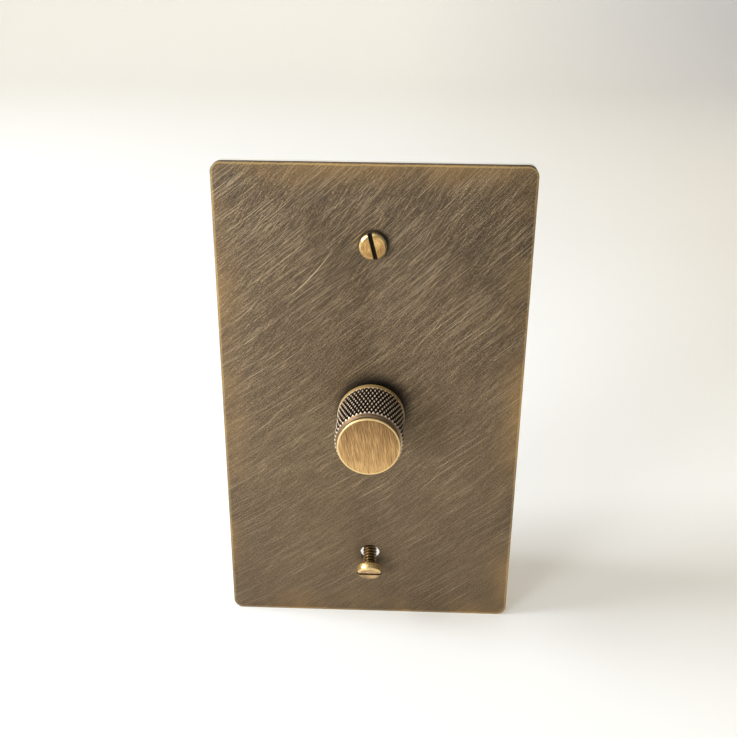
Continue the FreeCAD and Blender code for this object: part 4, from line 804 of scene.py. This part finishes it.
def broken_edges(node, width):
    """A merged copy of a node's mesh in millimetres, with its sharp edges broken by width."""
    shape = bmesh.new()
    shape.from_mesh(frame["nodes"][node].data)
    bmesh.ops.scale(shape, vec=(1.0 / MM,) * 3, verts=shape.verts)
    bmesh.ops.remove_doubles(shape, verts=shape.verts, dist=MESH_NEAR)
    bmesh.ops.dissolve_limit(shape, angle_limit=math.radians(1.0), use_dissolve_boundaries=False,
                             verts=shape.verts, edges=shape.edges)
    bmesh.ops.recalc_face_normals(shape, faces=shape.faces)
    if width:
        sharp = [edge for edge in shape.edges
                 if len(edge.link_faces) == 2 and edge.calc_face_angle(0.0) > math.radians(32)]
        rounded(shape, sharp, width, 2)
    return shape


slot_of = {part["node"]: part["material_slot"] for part in frame["record"]["subparts"]}

# Every CAD piece takes its finish, and those that are modelled again are hidden after that.
for node, piece in frame["nodes"].items():
    for held in piece.material_slots:
        held.material = FINISHES.get(slot_of[node])

finished("bronzed_plate", face_plate(), FINISHES["bronzed_brass"], "root", ["face_plate"])
finished("knurled_knob", knob(), FINISHES["knob_brass"], "knob_shaft", ["knob"], sharp=50.0)

upper_place = Vector((0.0, PLATE_FRONT, FIXING_HEIGHT))
lower_place = Vector((
    0.0,
    LOOSE_FROM - LOOSE_REACH * math.cos(LOOSE_DROOP),
    -FIXING_HEIGHT - LOOSE_REACH * math.sin(LOOSE_DROOP),
))
for name, place, droop, slot_turn in (
    ("upper_screw", upper_place, 0.0, -UPPER_SLOT_TURN),
    ("lower_screw", lower_place, LOOSE_DROOP, math.pi / 2.0),
):
    turned = Matrix.Translation(place) @ Matrix.Rotation(droop, 4, "X") @ Matrix.Rotation(slot_turn, 4, "Y")
    finished(name, fixing_screw(turned), screw_brass(name + "_brass", turned), "root",
             ["fixing_screws"], sharp=40.0)

spring = finished("coil_spring", return_spring(), FINISHES["spring_steel"], "root",
                  ["return_spring"], sharp=70.0)
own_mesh(spring)

for node, width in (
    ("rear_housing", 0.18), ("heatsink_plate", 0.15), ("housing_screws", 0.08), ("terminal_screws", 0.08),
    ("terminal_block", 0.12), ("bush_nut", 0.06), ("lock_washer", 0.04),
):
    slot_name = slot_of[node]
    finished(node + "_edged", broken_edges(node, width), FINISHES[slot_name], "root", [node])


STAGE_WIDE, STAGE_NEAR, STAGE_FAR = 7000.0, -2600.0, 1500.0
STAGE_LOW, STAGE_HIGH, STAGE_SWEEP = -60.0, 3200.0, 700.0

# The paper as the camera sees it, and the colours of the glow that the camera and mirrors add.
STAGE_PAPER = (0.84, 0.90, 0.95, 1.0)
# The glow on the right and in the far right corner is darker: painted shade.
STAGE_FLOOR, RIGHT_SHADE_GLOW = (1.85, 1.55, 1.15, 1.0), (1.55, 0.95, 0.05, 1.0)
STAGE_WALL, FAR_CORNER_SHADE_GLOW = (2.6, 2.1, 1.3, 1.0), (0.6, 0.3, 0.0, 1.0)
STAGE_GLOW = 0.15


def grey(level):
    return (level, level, level, 1.0)


def stage_sheet():
    """The floor, swept up into a backdrop far behind, in millimetres."""
    shape = bmesh.new()
    points = [shape.verts.new((-STAGE_WIDE / 2.0, y, z)) for y, z in (
        (STAGE_NEAR, STAGE_LOW), (STAGE_FAR, STAGE_LOW), (STAGE_FAR, STAGE_HIGH))]
    sides = [shape.edges.new(pair) for pair in zip(points, points[1:])]
    swept = bmesh.ops.extrude_edge_only(shape, edges=sides)["geom"]
    moved = [item for item in swept if isinstance(item, bmesh.types.BMVert)]
    bmesh.ops.translate(shape, verts=moved, vec=(STAGE_WIDE, 0.0, 0.0))
    fold = [edge for edge in shape.edges
            if all(abs(vert.co.y - STAGE_FAR) < 1.0 and abs(vert.co.z - STAGE_LOW) < 1.0
                   for vert in edge.verts)]
    rounded(shape, fold, STAGE_SWEEP, 24)
    bmesh.ops.recalc_face_normals(shape, faces=shape.faces)
    return shape


def stage_material():
    """Pale paper that takes the object's shadow, under a faint glow that lights nothing else. The glow is
    painted darker on the right and in the far right corner, and mirrors see a painted dark patch on the
    right.
    """
    material, graph, shader = new_material("stage_paper")
    x, y, _ = graph.split(graph.millimetres())
    back = graph.between(y, 330.0, 1150.0)
    back = graph.calc("MULTIPLY", back, graph.calc("SUBTRACT", 2.0, back))
    # Painted shade: the glow darkens towards the far right corner of the backdrop.
    far_corner_shade = graph.calc("MULTIPLY", graph.between(x, 0.0, 420.0), back)
    glow = graph.mix(graph.between(x, -20.0, 220.0), STAGE_FLOOR, RIGHT_SHADE_GLOW)
    glow = graph.mix(back, glow, STAGE_WALL)
    glow = graph.mix(far_corner_shade, glow, FAR_CORNER_SHADE_GLOW)
    path = graph.add("ShaderNodeLightPath").outputs
    # Painted reflection: mirrors see a dark patch on the paper to the right, which the camera doesn't see.
    mirror_dark_patch = graph.calc("MULTIPLY", path["Is Glossy Ray"], graph.between(x, 60.0, 260.0))
    glow = graph.mix(mirror_dark_patch, glow, grey(0.1))
    plain = graph.mix(mirror_dark_patch, (0.84, 0.83, 0.81, 1.0), (0.12, 0.115, 0.11, 1.0))
    paper = graph.mix(path["Is Camera Ray"], plain, STAGE_PAPER)
    graph.give(shader, Base_Color=paper, Roughness=0.9, Specular_IOR_Level=0.0)
    light = graph.add("ShaderNodeEmission", {"Color": glow, "Strength": 1.0})
    seen = graph.calc("ADD", path["Is Camera Ray"],
                      graph.calc("ADD", path["Is Glossy Ray"], path["Is Transmission Ray"]), clamp=True)
    blend = graph.add("ShaderNodeMixShader", {"Fac": graph.calc("MULTIPLY", seen, STAGE_GLOW)})
    graph.feed(blend.inputs[1], shader.outputs[0])
    graph.feed(blend.inputs[2], light.outputs[0])
    graph.give(material.node_tree.nodes["Material Output"], Surface=blend.outputs[0])
    return material


sheet_mesh = bpy.data.meshes.new("stage_paper")
sheet = stage_sheet()
for face in sheet.faces:
    face.smooth = True
bmesh.ops.scale(sheet, vec=(MM, MM, MM), verts=sheet.verts)
sheet.to_mesh(sheet_mesh)
sheet.free()
sheet_mesh.materials.append(stage_material())
stage = bpy.data.objects.new("stage_paper", sheet_mesh)
bpy.context.scene.collection.objects.link(stage)


def lamp(name, place, target, wide, high, power, colour=(1.0, 1.0, 1.0)):
    """A soft flat lamp at a place in metres, turned to its target."""
    light = bpy.data.lights.new(name, "AREA")
    light.shape = "RECTANGLE"
    light.size = wide
    light.size_y = high
    light.energy = power
    light.color = colour
    holder = bpy.data.objects.new(name, light)
    holder.location = place
    holder.rotation_euler = (Vector(target) - Vector(place)).to_track_quat("-Z", "Y").to_euler()
    bpy.context.scene.collection.objects.link(holder)


lamp("key_lamp", (-0.95, -1.15, 0.16), (0.0, 0.0, 0.0), 0.45, 0.7, 16.0, (0.99, 0.99, 1.0))
lamp("fill_lamp", (-0.72, -0.92, 0.85), (0.0, 0.0, 0.0), 0.6, 0.6, 2.0, (1.0, 0.99, 0.97))
lamp("top_lamp", (-0.25, -0.10, 1.30), (0.0, 0.1, 0.0), 1.0, 1.0, 3.0, (1.0, 0.99, 0.97))
lamp("window_lamp", (-0.74, -0.03, 0.50), (0.0, 0.0, 0.0), 0.4, 0.5, 8.0)

world = bpy.data.worlds.new("studio_air")
world.use_nodes = True
air = Graph(world.node_tree)
from_left = air.split(air.add("ShaderNodeTexCoord").outputs["Generated"])[0]
level = air.mix(air.between(from_left, -0.7, 0.7), grey(0.40), grey(0.20))
air.give(world.node_tree.nodes["Background"], Color=level, Strength=1.0)
bpy.context.scene.world = world


def photo_camera():
    """The camera where the photographer stood, a little above the knob and looking down."""
    place, yaw, pitch, roll = Vector((6.42, -223.31, 113.19)) * MM, -0.0327, 0.4341, -0.0085
    ahead = Vector((math.sin(yaw) * math.cos(pitch), math.cos(yaw) * math.cos(pitch), -math.sin(pitch)))
    right = Vector((math.cos(yaw), -math.sin(yaw), 0.0))
    down = ahead.cross(right)
    side = math.cos(roll) * right + math.sin(roll) * down
    below = -math.sin(roll) * right + math.cos(roll) * down
    turned = Matrix((side, -below, -ahead)).transposed().to_4x4()
    lens = bpy.data.cameras.new("photo_camera")
    lens.lens = 50.0
    lens.sensor_width = 36.0
    lens.clip_start = 0.01
    holder = bpy.data.objects.new("photo_camera", lens)
    holder.matrix_world = Matrix.Translation(place) @ turned
    bpy.context.scene.collection.objects.link(holder)
    bpy.context.scene.camera = holder


photo_camera()
bpy.context.scene.view_settings.view_transform = "Standard"
